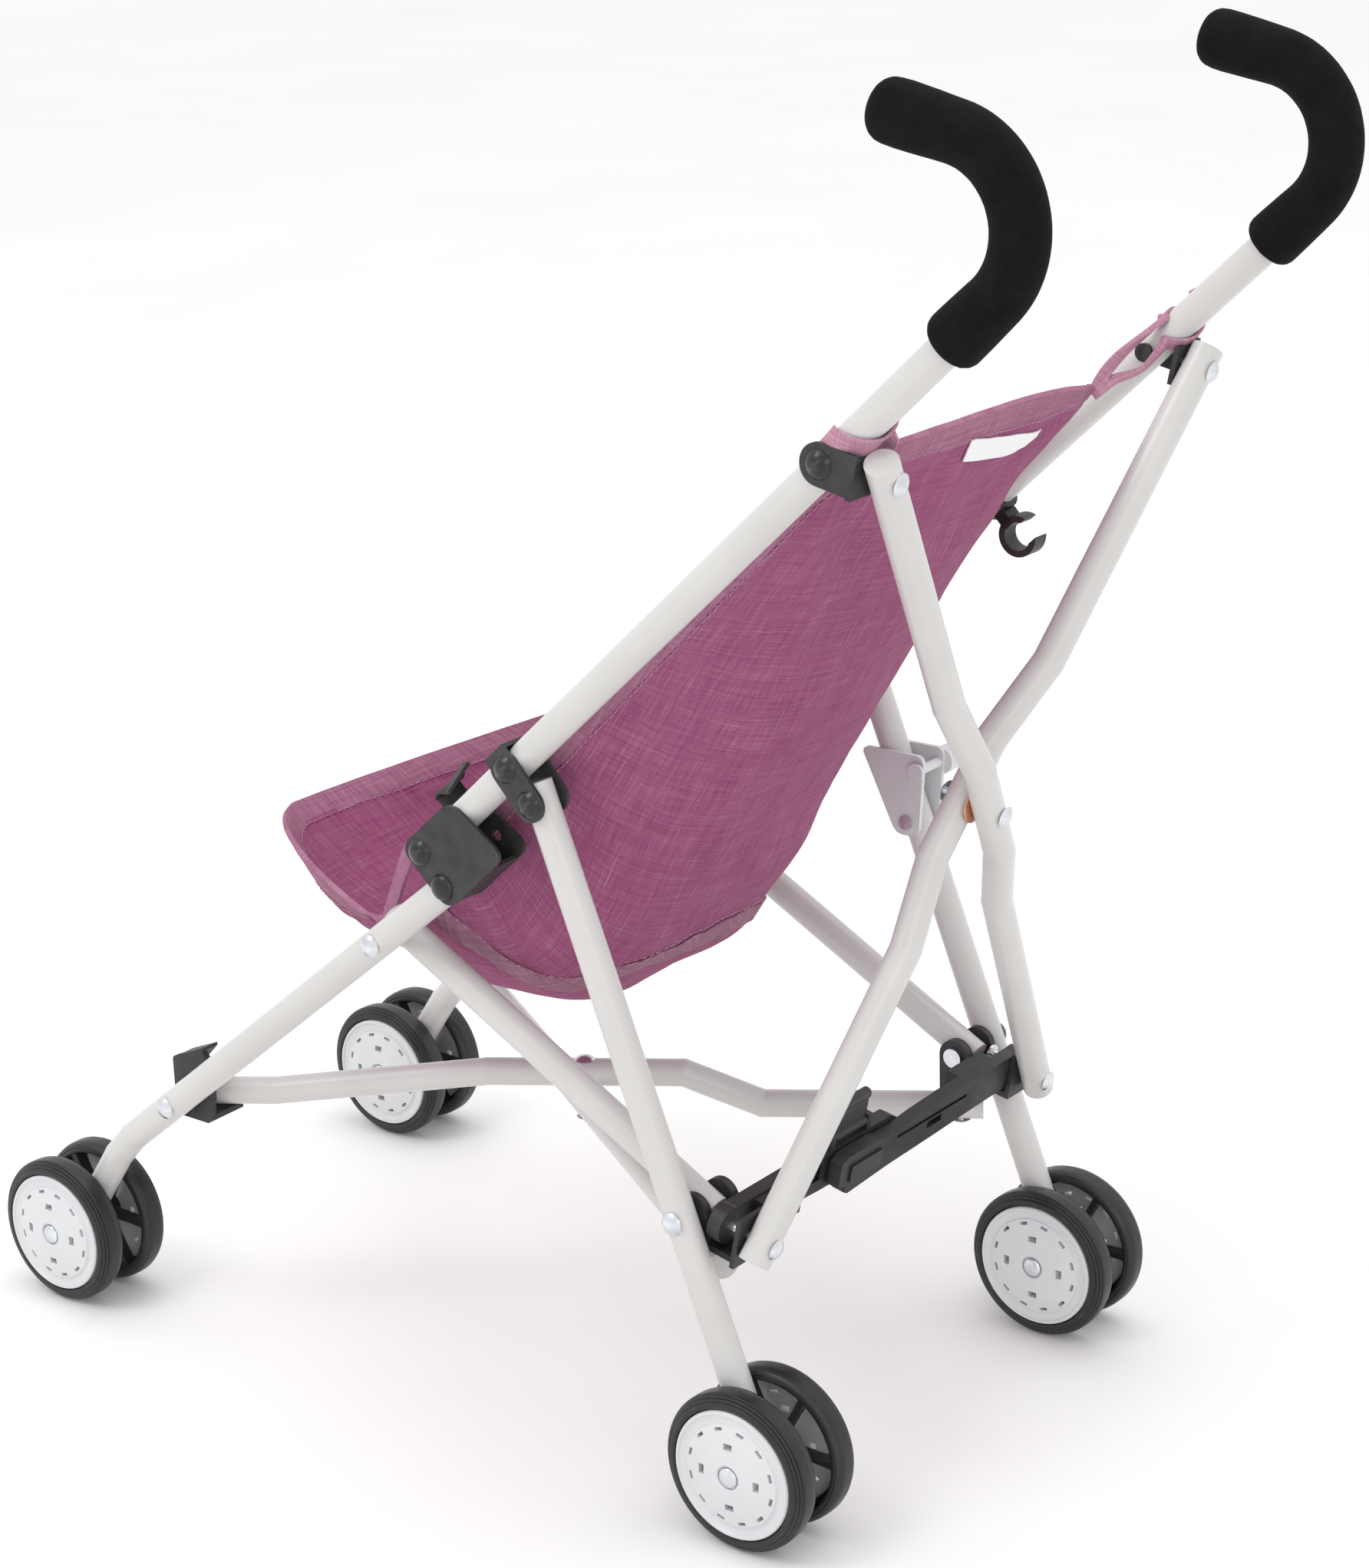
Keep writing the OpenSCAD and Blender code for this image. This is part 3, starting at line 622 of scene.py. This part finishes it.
# ---------------------------------------------------------------- grips
def grip(side, body):
    sx = 1 if side == "left" else -1
    r = 10.7
    bend = 30.0
    a1 = 125.4
    pts, rad = [], []

    def add(y, z, rr):
        pts.append(F(sx * 102, y, z))
        rad.append(rr * MM)

    g0, g1 = pu(311.2), pu(333.4)
    c = g1 + VP * bend
    for s, rr in [(0.0, 6.1), (0.15, 8.2), (0.7, 9.3), (1.7, 10.0), (3.2, 10.35)]:
        q = g0 + UP * s
        add(q[0], q[1], rr)
    k = 9
    for i in range(1, k + 1):
        q = g0 + UP * (3.2 + (22.2 - 3.2) * i / k)
        add(q[0], q[1], 10.35 - 0.55 * (i / k) ** 1.5)
    m = 34
    for i in range(1, m + 1):
        f = i / m
        a = PUSH - 90 + a1 * f
        q = c + d2(a) * bend
        add(q[0], q[1], 9.8 - 0.25 * math.sin(math.pi * f) + 0.35 * f)
    e = c + d2(PUSH - 90 + a1) * bend
    ed = d2(PUSH + a1)
    for s, rr in [(4, 10.25), (9, 10.45), (14, 10.6), (19, 10.7), (23, 10.6), (25.2, 10.3), (26.7, 9.6), (27.8, 8.6), (28.4, 7.0), (28.8, 4.5), (29.0, 0)]:
        q = e + ed * s
        add(q[0], q[1], rr)
    v, f = tube(pts, rad, 48)
    # a thumb-soft foam skin: tiny dents that catch the light
    v = [p + (p - ORIGIN).normalized() * (0.00012 * noise.noise(p * 900)) for p in v]
    o = outward(make("grip_foam_" + side, v, f, FOAM, body, sharp=60))
    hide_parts("grip_" + side)


grip("left", "left_push")
grip("right", "right_push")


# ---------------------------------------------------------------- wheels
def wheel(body, node_name, sx, outer):
    lo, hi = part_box(node_name)
    c = (lo + hi) / 2 if isinstance(lo, Vector) else Vector([(a + b) / 2 for a, b in zip(lo, hi)])
    out = sx if outer else -sx
    R = (hi[2] - lo[2]) / 2 / MM
    w = (hi[0] - lo[0]) / 2 / MM

    def place(r, a, h):
        return Vector((c[0] + out * h * MM, c[1] + r * MM * math.cos(a) * out, c[2] + r * MM * math.sin(a)))

    # tread section: rounded from the cap's edge to the crown, with three fine
    # ridges on the shoulder, and a plain rounded inner shoulder
    prof = [(R - 5.5, w - 1.8), (R - 5.3, w - 0.6), (R - 4.9, w - 0.15)]
    for k in range(1, 40):
        f = k / 40
        a = f * math.pi / 2
        rr, hh = R - 4.9 + 4.9 * math.sin(a) ** 0.85, w - 0.05 - 4.3 * (1 - math.cos(a)) ** 0.9
        dip = 0.0
        for c0, wd in ((0.28, 0.045), (0.50, 0.045), (0.72, 0.045)):
            dip = max(dip, math.exp(-((f - c0) / wd) ** 2))
        prof.append((rr - 0.42 * dip * math.sin(a), hh - 0.42 * dip * math.cos(a)))
    prof += [(R, w - 5.2), (R, -w + 4.6), (R - 0.12, -w + 3.2), (R - 0.45, -w + 2.1), (R - 0.75, -w + 1.75), (R - 0.8, -w + 1.5), (R - 0.75, -w + 1.2),
             (R - 1.3, -w + 0.6), (R - 2.2, -w + 0.2), (R - 2.6, -w + 0.35), (R - 3.0, -w + 0.1),
             (R - 3.8, -w), (R - 4.2, -w + 0.15), (R - 4.4, -w + 0.6), (R - 4.6, w - 5.4), (R - 6.8, w - 5.0), (R - 7.0, w - 4.6), (R - 7.0, w - 2.9), (R - 6.7, w - 2.65), (R - 5.7, w - 2.65)]
    ring = lathe(prof, 112, place, closed=True)
    hub = lathe([(2.1, -w), (4.6, -w), (5.2, -w + 0.4), (5.5, -w + 1.2), (5.7, w - 4), (5.4, w - 2.7), (2.1, w - 2.7)], 48, place, closed=True)
    parts = [ring, hub]
    for k in range(6):
        a = math.radians(60 * k)
        ra, ta = Vector((math.cos(a), math.sin(a))), Vector((-math.sin(a), math.cos(a)))
        verts = []
        cols = [(5.0, 1.7), (9.0, 1.15), (18.0, 1.1), (R - 6.0, 1.5), (R - 4.5, 2.3)]
        for rr, hw in cols:
            for tt, h in ((-hw, -w + 2.0), (-hw * 0.8, -w + 1.6), (hw * 0.8, -w + 1.6), (hw, -w + 2.0), (hw, w - 4.9), (-hw, w - 4.9)):
                q = ra * rr + ta * tt
                verts.append(Vector((c[0] + out * h * MM, c[1] + q[0] * MM * out, c[2] + q[1] * MM)))
        faces = []
        for i in range(len(cols) - 1):
            for j in range(6):
                p, q = i * 6 + j, i * 6 + (j + 1) % 6
                faces.append((p, q, q + 6, p + 6))
        faces += [(5, 4, 3, 2, 1, 0), tuple(range((len(cols) - 1) * 6, len(cols) * 6))]
        parts.append((verts, faces))
    v, f = join(parts)
    o = outward(make("tyre_" + node_name[6:], v, f, TREAD, body, sharp=32))
    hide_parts(node_name)
    # pressed metal dome in the middle of the cap
    base = w + 1.05
    q = [(3.95, base), (4.05, base + 0.35), (3.9, base + 0.9), (3.2, base + 1.35), (1.8, base + 1.7), (0, base + 1.8)]
    v, f = lathe([(0, base)] + q, 40, place)
    outward(make("hub_dome_" + node_name[6:], v, f, ZINC, body, sharp=50))


for fr_ in ("front", "rear"):
    for sd, sx in (("left", 1), ("right", -1)):
        for io in ("outer", "inner"):
            key = f"{fr_}_{sd}_{io}"
            wheel("wheel_" + key, "wheel_" + key, sx, io == "outer")


# ---------------------------------------------------------------- seat sling
# stations down the seat: left edge, right edge, centre (y, z), bulge power left/right
ST = [
    ((81, 12, 402), (-81, 5, 395), (15, 403.5), 2.0, 2.0),
    ((93, -18.7, 373.2), (-93, -18.7, 373.2), (-6, 367), 2.1, 2.1),
    ((94, -55.5, 339.3), (-94, -55.5, 339.3), (-33, 322), 2.4, 2.4),
    ((93, -88.7, 308.9), (-93, -88.7, 308.9), (-57, 279), 2.8, 2.8),
    ((91, -120.3, 279.8), (-91, -120.3, 279.8), (-82, 240), 3.2, 3.2),
    ((90, -143.9, 258.2), (-90, -143.9, 262), (-105, 199), 3.5, 3.5),
    ((89, -162.3, 241.3), (-91, -158, 255), (-132, 167), 3.8, 3.8),
    ((86, -178, 226), (-92, -168, 250), (-163, 154), 4.0, 4.0),
    ((83, -192, 211), (-94, -185, 252), (-207, 153), 3.2, 3.4),
    ((79, -203, 199), (-95, -198, 250), (-257, 154.5), 2.4, 2.8),
    ((79, -208.5, 192), (-95, -208, 247.5), (-300, 168), 2.0, 2.5),
    ((79, -212, 187.5), (-95, -215, 245), (-338, 194), 1.6, 2.3),
]


def spline(vals, t):
    n = len(vals)
    i = min(int(t), n - 2)
    f = t - i
    g = lambda k: vals[min(max(k, 0), n - 1)]
    a, b, c, d = g(i - 1), g(i), g(i + 1), g(i + 2)
    if i == 0:
        a = [2 * p - q for p, q in zip(b, c)]
    if i + 2 > n - 1:
        d = [2 * p - q for p, q in zip(c, b)]
    return [0.5 * (2 * q + (r - p) * f + (2 * p - 5 * q + 4 * r - s) * f * f + (3 * q - p - 3 * r + s) * f ** 3) for p, q, r, s in zip(a, b, c, d)]


FLAT_ST = [[*l, *r, *c, pl, pr] for l, r, c, pl, pr in ST]
TN = len(ST) - 1


def base_point(t, c):
    s = spline(FLAT_ST, min(max(t, 0.0), TN - 1e-6))
    e = s[0:3] if c >= 0 else s[3:6]
    p = s[8] if c >= 0 else s[9]
    a = abs(c)
    w = a ** p
    x = e[0] * a
    # the sheet leans outwards a little as it climbs the sides
    return Vector((x, s[6] + (e[1] - s[6]) * w, s[7] + (e[2] - s[7]) * w))


def bell(x, mid, wid):
    return math.exp(-((x - mid) / wid) ** 2)


def wrinkle(t, c, x, run):
    """Height of the folds in mm, outwards."""
    a = abs(c)
    hold = min(1.0, (1 - a) * 7) * min(1.0, t * 2.4 + 0.12) * min(1.0, (TN - t) * 1.6 + 0.15)
    q = Vector((x / 46.0, run / 60.0, 0.7))
    h = 2.3 * noise.noise(q)
    h += 1.1 * noise.noise(Vector((x / 17.0 + run / 70.0, run / 30.0, 4.2)))
    h += 0.45 * noise.noise(Vector((x / 7.5 - run / 26.0, run / 12.0, 9.9)))
    # folds that fan out from the two hung corners
    for sgn in (1, -1):
        dx, dr = x - sgn * 84, run - 6
        ang = math.atan2(dr, -sgn * dx + 1e-6)
        dist = math.hypot(dx, dr)
        h += 0.95 * math.sin(ang * 11 + sgn) * bell(dist, 80, 70) * (0.5 + a)
    # creases where the back turns into the seat
    turn = bell(t, 6.0, 1.5)
    h += 1.5 * turn * math.sin(x / 7.8 + 1.9 * noise.noise(Vector((x / 40, run / 40, 2)))) * (0.25 + a * a)
    h += 1.2 * turn * math.sin(run / 8.0 + x / 19.0)
    # slack over the hips, pulled towards the hinge
    h += 2.2 * bell(a, 0.72, 0.22) * bell(t, 5.6, 1.4)
    h -= 1.1 * bell(a, 0.5, 0.12) * bell(t, 7.6, 1.3)
    return h * hold


NT, NC = 250, 150
ts = [TN * i / NT for i in range(NT + 1)]
cs = [math.sin(math.pi / 2 * (2 * j / NC - 1)) * 0.55 + (2 * j / NC - 1) * 0.45 for j in range(NC + 1)]
base = [[base_point(t, c) for c in cs] for t in ts]


def normals(grid):
    out = []
    for i, row in enumerate(grid):
        r = []
        a, b = grid[max(i - 1, 0)], grid[min(i + 1, len(grid) - 1)]
        for j in range(len(row)):
            dt = b[j] - a[j]
            dc = row[min(j + 1, len(row) - 1)] - row[max(j - 1, 0)]
            n = dc.cross(dt)
            r.append(n.normalized() if n.length > 1e-9 else Vector((0, 1, 0)))
        out.append(r)
    return out


nrm = normals(base)
if nrm[NT // 4][NC // 2][1] < 0:
    nrm = [[-n for n in r] for r in nrm]
runs = [[0.0] * (NC + 1) for _ in range(NT + 1)]
for i in range(1, NT + 1):
    for j in range(NC + 1):
        runs[i][j] = runs[i - 1][j] + (base[i][j] - base[i - 1][j]).length
mid_run = [r[NC // 2] for r in runs]
cross = []
for i in range(NT + 1):
    row, acc = [0.0], 0.0
    for j in range(1, NC + 1):
        acc += (base[i][j] - base[i][j - 1]).length
        row.append(acc)
    half = row[NC // 2]
    cross.append([v - half for v in row])
surf = [[base[i][j] + nrm[i][j] * wrinkle(ts[i], cs[j], base[i][j][0], mid_run[i]) for j in range(NC + 1)] for i in range(NT + 1)]
for i in range(NT + 1):
    for j in range(NC + 1):
        p = surf[i][j]
        # room for the side links beside the seat
        if p[2] < 205 and abs(p[0]) > 78.5:
            p[0] = math.copysign(78.5, p[0])
nrm2 = normals(surf)
if nrm2[NT // 4][NC // 2][1] < 0:
    nrm2 = [[-n for n in r] for r in nrm2]
HEM_W = 12.0


def edge_dist(i, j):
    """Distances in mm to the top edge, the lip and the nearer side edge."""
    return runs[i][j], runs[NT][j] - runs[i][j], min(cross[i][j] - cross[i][0], cross[i][NC] - cross[i][j])


def half_thick(i, j):
    top, lip, side_d = edge_dist(i, j)
    th = 0.55
    for d, w in ((top, HEM_W), (lip, HEM_W), (side_d, 9.0)):
        if d < w:
            th = max(th, 1.05 + 0.12 * math.sin(d / w * math.pi))
        elif d < w + 1.4:
            th = max(th, 1.05 - 0.62 * math.sin((d - w) / 1.4 * math.pi / 2) if d < w + 0.9 else 0.42 if False else 0.55)
    # the stitched line pulls the layers together
    for d, w in ((top, HEM_W - 1.2), (lip, HEM_W - 1.2), (side_d, 7.8)):
        th -= 0.42 * math.exp(-((d - w) / 0.8) ** 2)
    return max(th, 0.4)


verts, faces, uvs, ids = [], [], [], []
W = NC + 1
for sgn in (1, -1):
    for i in range(NT + 1):
        for j in range(NC + 1):
            p = surf[i][j] + nrm2[i][j] * (sgn * half_thick(i, j))
            verts.append(S(*p))
            uvs.append((cross[i][j] * MM, mid_run[i] * MM))
off = (NT + 1) * W
for i in range(NT):
    for j in range(NC):
        a, b, c, d = i * W + j, i * W + j + 1, (i + 1) * W + j + 1, (i + 1) * W + j
        top, lip, sd = edge_dist(i, j)
        hem = top < HEM_W or lip < HEM_W or sd < 9.0
        faces.append((a, b, c, d))
        ids.append(1 if hem else 0)
        faces.append((d + off, c + off, b + off, a + off))
        ids.append(1 if hem else 0)
rim = [(0, j) for j in range(W)] + [(i, NC) for i in range(1, NT + 1)] + [(NT, j) for j in range(NC - 1, -1, -1)] + [(i, 0) for i in range(NT - 1, 0, -1)]
for k, (i, j) in enumerate(rim):
    i2, j2 = rim[(k + 1) % len(rim)]
    faces.append((i * W + j, i * W + j + off, i2 * W + j2 + off, i2 * W + j2))
    ids.append(1)
sling = outward(make("sling_cloth", verts, faces, [CLOTH, HEM], "left_push", uvs=uvs, sharp=70, mat_ids=ids))
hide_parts("seat_sling")


def on_sling(t, c, lift=0.0):
    """Point and outward normal of the folded sheet at (t, c), in design mm."""
    f = min(max(t / TN * NT, 0), NT - 1e-6)
    i = int(f)
    f -= i
    lo_, hi_ = 0, NC
    while hi_ - lo_ > 1:
        k = (lo_ + hi_) // 2
        if cs[k] <= c:
            lo_ = k
        else:
            hi_ = k
    g = min(max((c - cs[lo_]) / (cs[lo_ + 1] - cs[lo_]), 0), 1)

    def mixg(gr):
        return (gr[i][lo_] * (1 - g) + gr[i][lo_ + 1] * g) * (1 - f) + (gr[i + 1][lo_] * (1 - g) + gr[i + 1][lo_ + 1] * g) * f

    p, n = mixg(surf), mixg(nrm2).normalized()
    th = half_thick(i, lo_)
    return p + n * (th * (1 if lift >= 0 else -1) + lift), n


def stitches(name, path, side=1, pitch=3.3, length=2.3, r=0.32):
    """Short raised threads along (t, c) points of the sheet, on its outer (1) or inner (-1) side."""
    pts = [on_sling(t, c, 0.06 * side) for t, c in path]
    acc = [0.0]
    for a, b in zip(pts, pts[1:]):
        acc.append(acc[-1] + (b[0] - a[0]).length)
    parts = []
    s = 1.0
    k = 0

    def at(d):
        nonlocal k
        while k < len(acc) - 2 and acc[k + 1] < d:
            k += 1
        f = (d - acc[k]) / max(acc[k + 1] - acc[k], 1e-9)
        return pts[k][0].lerp(pts[k + 1][0], f), pts[k][1]

    while s + length < acc[-1]:
        k = 0 if s < 2 else k
        a, n = at(s)
        b, _ = at(s + length)
        q = [a - n * 0.25 * side, a + (b - a) * 0.12 + n * 0.10 * side, (a + b) / 2 + n * 0.16 * side, a + (b - a) * 0.88 + n * 0.10 * side, b - n * 0.25 * side]
        parts.append(tube([S(*p) for p in q], [r * MM * w for w in (0.7, 1, 1, 1, 0.7)], 6))
        s += pitch
    v, f = join(parts)
    return make(name, v, f, THREAD, "left_push", sharp=80)


def const_edge_c(i, dist, right_side):
    """The c at a given distance from a side edge."""
    if right_side:
        for j in range(NC + 1):
            if cross[i][j] - cross[i][0] >= dist:
                return cs[j]
    for j in range(NC, -1, -1):
        if cross[i][NC] - cross[i][j] >= dist:
            return cs[j]
    return 0


def const_t(j, dist, lip=False):
    if lip:
        for i in range(NT, -1, -1):
            if runs[NT][j] - runs[i][j] >= dist:
                return ts[i]
    for i in range(NT + 1):
        if runs[i][j] >= dist:
            return ts[i]
    return 0


def fine(vals, n=4):
    """A smoother copy of a list of pairs."""
    out = []
    for k in range(len(vals)):
        w = vals[max(k - n, 0):k + n + 1]
        out.append((sum(v[0] for v in w) / len(w), sum(v[1] for v in w) / len(w)))
    return out


trim = []
js = [j for j in range(NC + 1) if abs(cs[j]) < 0.955]
top_path = fine([(const_t(j, HEM_W - 1.2), cs[j]) for j in js])
lip_path = fine([(const_t(j, HEM_W - 1.2, True), cs[j]) for j in js])
ii = [i for i in range(NT + 1) if 10 < mid_run[i] < mid_run[-1] - 10]
left_path = fine([(ts[i], const_edge_c(i, 7.8, False)) for i in ii])
right_path = fine([(ts[i], const_edge_c(i, 7.8, True)) for i in ii])
for nm, pth in (("top", top_path), ("lip", lip_path), ("left", left_path), ("right", right_path)):
    trim.append(stitches("stitch_" + nm, pth))
    trim.append(stitches("stitch_" + nm + "_in", pth, side=-1))


# bound seam band along the bottom of each side, its weave on the bias
def surface_band(name, path, width, lift, mat, thick=0.9, fold=0.0):
    pts, sides = [], []
    for k, (t, c) in enumerate(path):
        p, n = on_sling(t, c, lift)
        a = on_sling(*path[max(k - 1, 0)])[0]
        b = on_sling(*path[min(k + 1, len(path) - 1)])[0]
        tan = (b - a).normalized()
        pts.append(S(*p))
        sides.append(tan.cross(n))
    v, f, u = strip(pts, sides, width * MM, thick * MM)
    return outward(make(name, v, f, mat, "left_push", uvs=u, sharp=60))


# the seat's seam runs from edge to edge under the sling, with a bias band in front of it
def seam(c):
    return 5.35 + 2.2 * (abs(c) / 0.95) ** 3


for sgn, nm in ((1, "left"), (-1, "right")):
    seam_cs = [sgn * 0.93 * k / 90 for k in range(91)]
    if sgn < 0:
        seam_cs = seam_cs[::-1]
    trim.append(surface_band("seam_band_" + nm, [(seam(c) + 0.17 + 0.02 * math.sin(31 * c), c) for c in seam_cs], 11.0, 0.25, BIAS))
    trim.append(stitches("stitch_band_" + nm, [(seam(c) + 0.012 * math.sin(23 * c), c) for c in seam_cs]))

# ---------------------------------------------------------------- label, blank
LT0, LT1, LC0, LC1 = 0.26, 0.48, -0.55, 0.10


def label():
    nu, nv = 24, 14
    verts, faces, uvs = [], [], []
    grid = {}
    for sg, lift in ((1, 0.75), (0, 0.25)):
        for a in range(nu + 1):
            for b in range(nv + 1):
                u, v = a / nu, b / nv
                # the lower corner on the far side is cut to a curve
                cut = 0.0
                if u > 0.5:
                    cut = 0.55 * (1 - math.sqrt(max(0.0, 1 - ((u - 0.5) / 0.5) ** 2)))
                t = LT0 + 0.22 * u + (LT1 - LT0) * v * (1 - cut)
                c = LC1 + (LC0 - LC1) * u
                p, n = on_sling(t, c, lift + 0.5 * v * v)
                grid[sg, a, b] = len(verts)
                verts.append(S(*p))
                uvs.append((u * 0.03, v * 0.018))
    for a in range(nu):
        for b in range(nv):
            faces.append((grid[1, a, b], grid[1, a + 1, b], grid[1, a + 1, b + 1], grid[1, a, b + 1]))
            faces.append((grid[0, a, b + 1], grid[0, a + 1, b + 1], grid[0, a + 1, b], grid[0, a, b]))
    edge = [(a, 0) for a in range(nu)] + [(nu, b) for b in range(nv)] + [(a, nv) for a in range(nu, 0, -1)] + [(0, b) for b in range(nv, 0, -1)]
    for k, (a, b) in enumerate(edge):
        a2, b2 = edge[(k + 1) % len(edge)]
        faces.append((grid[1, a, b], grid[0, a, b], grid[0, a2, b2], grid[1, a2, b2]))
    return outward(make("care_label", verts, faces, LABEL, "left_push", uvs=uvs, sharp=50))


trim.append(label())

# ---------------------------------------------------------------- loops and straps
TUBE = lambda sx, a, r, ang: Vector((sx * 102 + r * math.cos(ang), *(pu(a) + VP * (r * math.sin(ang)))))


def fpt(v):
    return F(*v)


def wrap(name, sx, a, width, body, turn0, turn1, lean=0.0, r=6.75, mat=None, thick=1.0):
    """A band of cloth round a push tube, from one angle to another."""
    pts, sides = [], []
    n = 30
    for k in range(n + 1):
        f = k / n
        ang = math.radians(turn0 + (turn1 - turn0) * f)
        p = TUBE(sx, a + lean * (f - 0.5), r + 0.12 * math.sin(3 * ang), ang)
        pts.append(fpt(p))
        sides.append(Vector((0, UP[0], UP[1])))
    v, f, u = strip(pts, sides, width * MM, thick * MM, arch=0.3)
    return outward(make(name, v, f, mat or LOOP, body, uvs=u, sharp=60))


def strand(name, pts, width, body, twist0, twist1, thick=1.1, mat=None):
    """A band that twists as it runs; twist angles in degrees from the vertical."""
    q = smooth([fpt(p) for p in pts], 12)
    fr = frames(q)
    sides = []
    for k, (p, t, n, b) in enumerate(fr):
        f = k / (len(fr) - 1)
        a = math.radians(twist0 + (twist1 - twist0) * f)
        sides.append(n * math.cos(a) + b * math.sin(a))
    v, f, u = strip(q, sides, width * MM, thick * MM, arch=0.5)
    return outward(make(name, v, f, mat or LOOP, body, uvs=u, sharp=60))


def design(x, y, z):
    """Design-frame point as part-frame mm."""
    return Vector((x, y + 153.2, z))


# near side: a flat loop over the tube above the top bracket, and its two tails
wrap("loop_wrap_left", 1, 265.6, 8.8, "left_push", -215, 70, lean=-22)
corner_l = design(80, 11, 401)
l_in = TUBE(1, 273, 6.9, math.radians(178))
l_un = TUBE(1, 269, 6.9, math.radians(240))
trim_near = [
    strand("loop_tail_left_a", [l_in + Vector((0, 0, 1.5)), l_in + Vector((-2.4, -2, -3)), (corner_l + l_in) / 2 + Vector((0, 0, -2)), corner_l + Vector((2, 0, -2))], 7.0, "left_push", 20, 70),
    strand("loop_tail_left_b", [l_un + Vector((-1, 0, 1)), l_un + Vector((-4, -1, -2)), (corner_l + l_un) / 2 + Vector((0, 3, -2)), corner_l + Vector((-1, 2, -4))], 6.0, "left_push", -30, 30),
]
# far side: two twisted strands up to the tube
wrap("loop_wrap_right_a", -1, 264, 5.0, "right_push", 43, 250, lean=4)
wrap("loop_wrap_right_b", -1, 267, 5.0, "right_push", -20, -250, lean=18)
corner_r = design(-80, 5, 395)
for nm, a, ang, tw, bow in (("a", 262, 43, 160, Vector((2, -2, -1))), ("b", 258, -20, -150, Vector((0, 2, -3)))):
    top_p = TUBE(-1, a, 7.2, math.radians(ang))
    trim.append(strand("loop_tail_right_" + nm, [corner_r + Vector((0, 0, -3)), corner_r.lerp(top_p, 0.25) + bow * 0.5, corner_r.lerp(top_p, 0.6) + bow, top_p + Vector((1.0, 0, -1)), top_p + Vector((-1.0, 0.5, 1.2))], 4.6, "left_push", 0, tw, thick=1.5))

# front: a strap from each hinge plate down to the corner of the front lip
for sx, end in ((1, design(79, -212, 190)), (-1, design(-93, -214, 247))):
    nm = "left" if sx > 0 else "right"
    body = "left_push"
    a = design(sx * 93.0, -187, 228) if sx > 0 else design(-95.5, -176, 243)
    path = [a + Vector((-sx * 1.0, 4, 4)), a, a.lerp(end, 0.5) + Vector((-sx * 0.5, -1, 1)), end + Vector((0, -1, 1)), end + Vector((-sx * 2, 2, -4))]
    s_ = strand("front_strap_" + nm, path, 7.5 if sx > 0 else 9.0, body, 8 if sx > 0 else 100, 25 if sx > 0 else 110, thick=1.2, mat=HEM)
    if sx < 0:
        trim.append(s_)

# ---------------------------------------------------------------- waist belt
belt_pts, belt_sides = [], []
ends = [design(91.0, -158.0, 262.0), design(87, -168, 258)]
for k in range(81):
    f = k / 80
    c = 0.955 - 1.91 * f
    t = 5.75 - 0.75 * math.sin(math.pi * f)
    p, n = on_sling(t, c, -2.0)
    q = F(p[0], p[1] + 153.2, p[2])
    belt_pts.append(q)
    a = on_sling(t + 0.05, c)[0]
    b = on_sling(t - 0.05, c)[0]
    belt_sides.append((b - a).normalized())
head = smooth([F(92.5, -6.5, 263.5), F(88.5, -13.5, 260.0), F(84.0, -20.0, 254.0)], 8)
tail = [Vector((2 * ORIGIN[0] - p[0], p[1], p[2])) for p in reversed(head)]
sd = Vector((0, UP[0], UP[1]))
belt_pts = head + belt_pts[2:-2] + tail
mid_sides = belt_sides[2:-2]
n_h = len(head)
h_sides = [sd.lerp(mid_sides[0], k / n_h) for k in range(n_h)]
t_sides = [mid_sides[-1].lerp(sd, (k + 1) / n_h) for k in range(n_h)]
belt_sides = h_sides + mid_sides + t_sides
v, f, u = strip(belt_pts, belt_sides, 14 * MM, 1.3 * MM)
belt = outward(make("belt_webbing", v, f, WEB, "left_push", uvs=u, sharp=60))
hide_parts("waist_belt")

# ---------------------------------------------------------------- fixings added one by one
def lathe_at(name, centre, axis, profile, mat, body, seg=40):
    ax = Vector(axis).normalized()
    n = perp(ax)
    b = ax.cross(n)

    def place(r, a, h):
        return centre + ax * (h * MM) + n * (r * MM * math.cos(a)) + b * (r * MM * math.sin(a))

    vv, ff = lathe(profile, seg, place)
    return outward(make(name, vv, ff, mat, body, sharp=50))


N3 = Vector((0, NV[0], NV[1]))
lathe_at("copper_washer", F(0, *C0) - N3 * 0.00036, N3, [(0, 0), (7.2, 0), (7.4, 0.15), (7.4, 0.55), (7.2, 0.7), (0, 0.7)], COPPER, "back_tube_b")
# black heads over the front fixing of each hinge plate
for sx, nm in ((1, "left"), (-1, "right")):
    lathe_at("hinge_head_" + nm, F(sx * 109.6, *R2), (sx, 0, 0), [(0, -0.1), (5.2, -0.1), (5.2, 0.25), (4.6, 1.1), (3.4, 1.9), (1.8, 2.4), (0, 2.6)], RIVET_BLACK, nm + "_front")

# ---------------------------------------------------------------- soft pieces get their own copy of mesh data
for piece in [sling, belt, *trim]:
    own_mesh(piece)
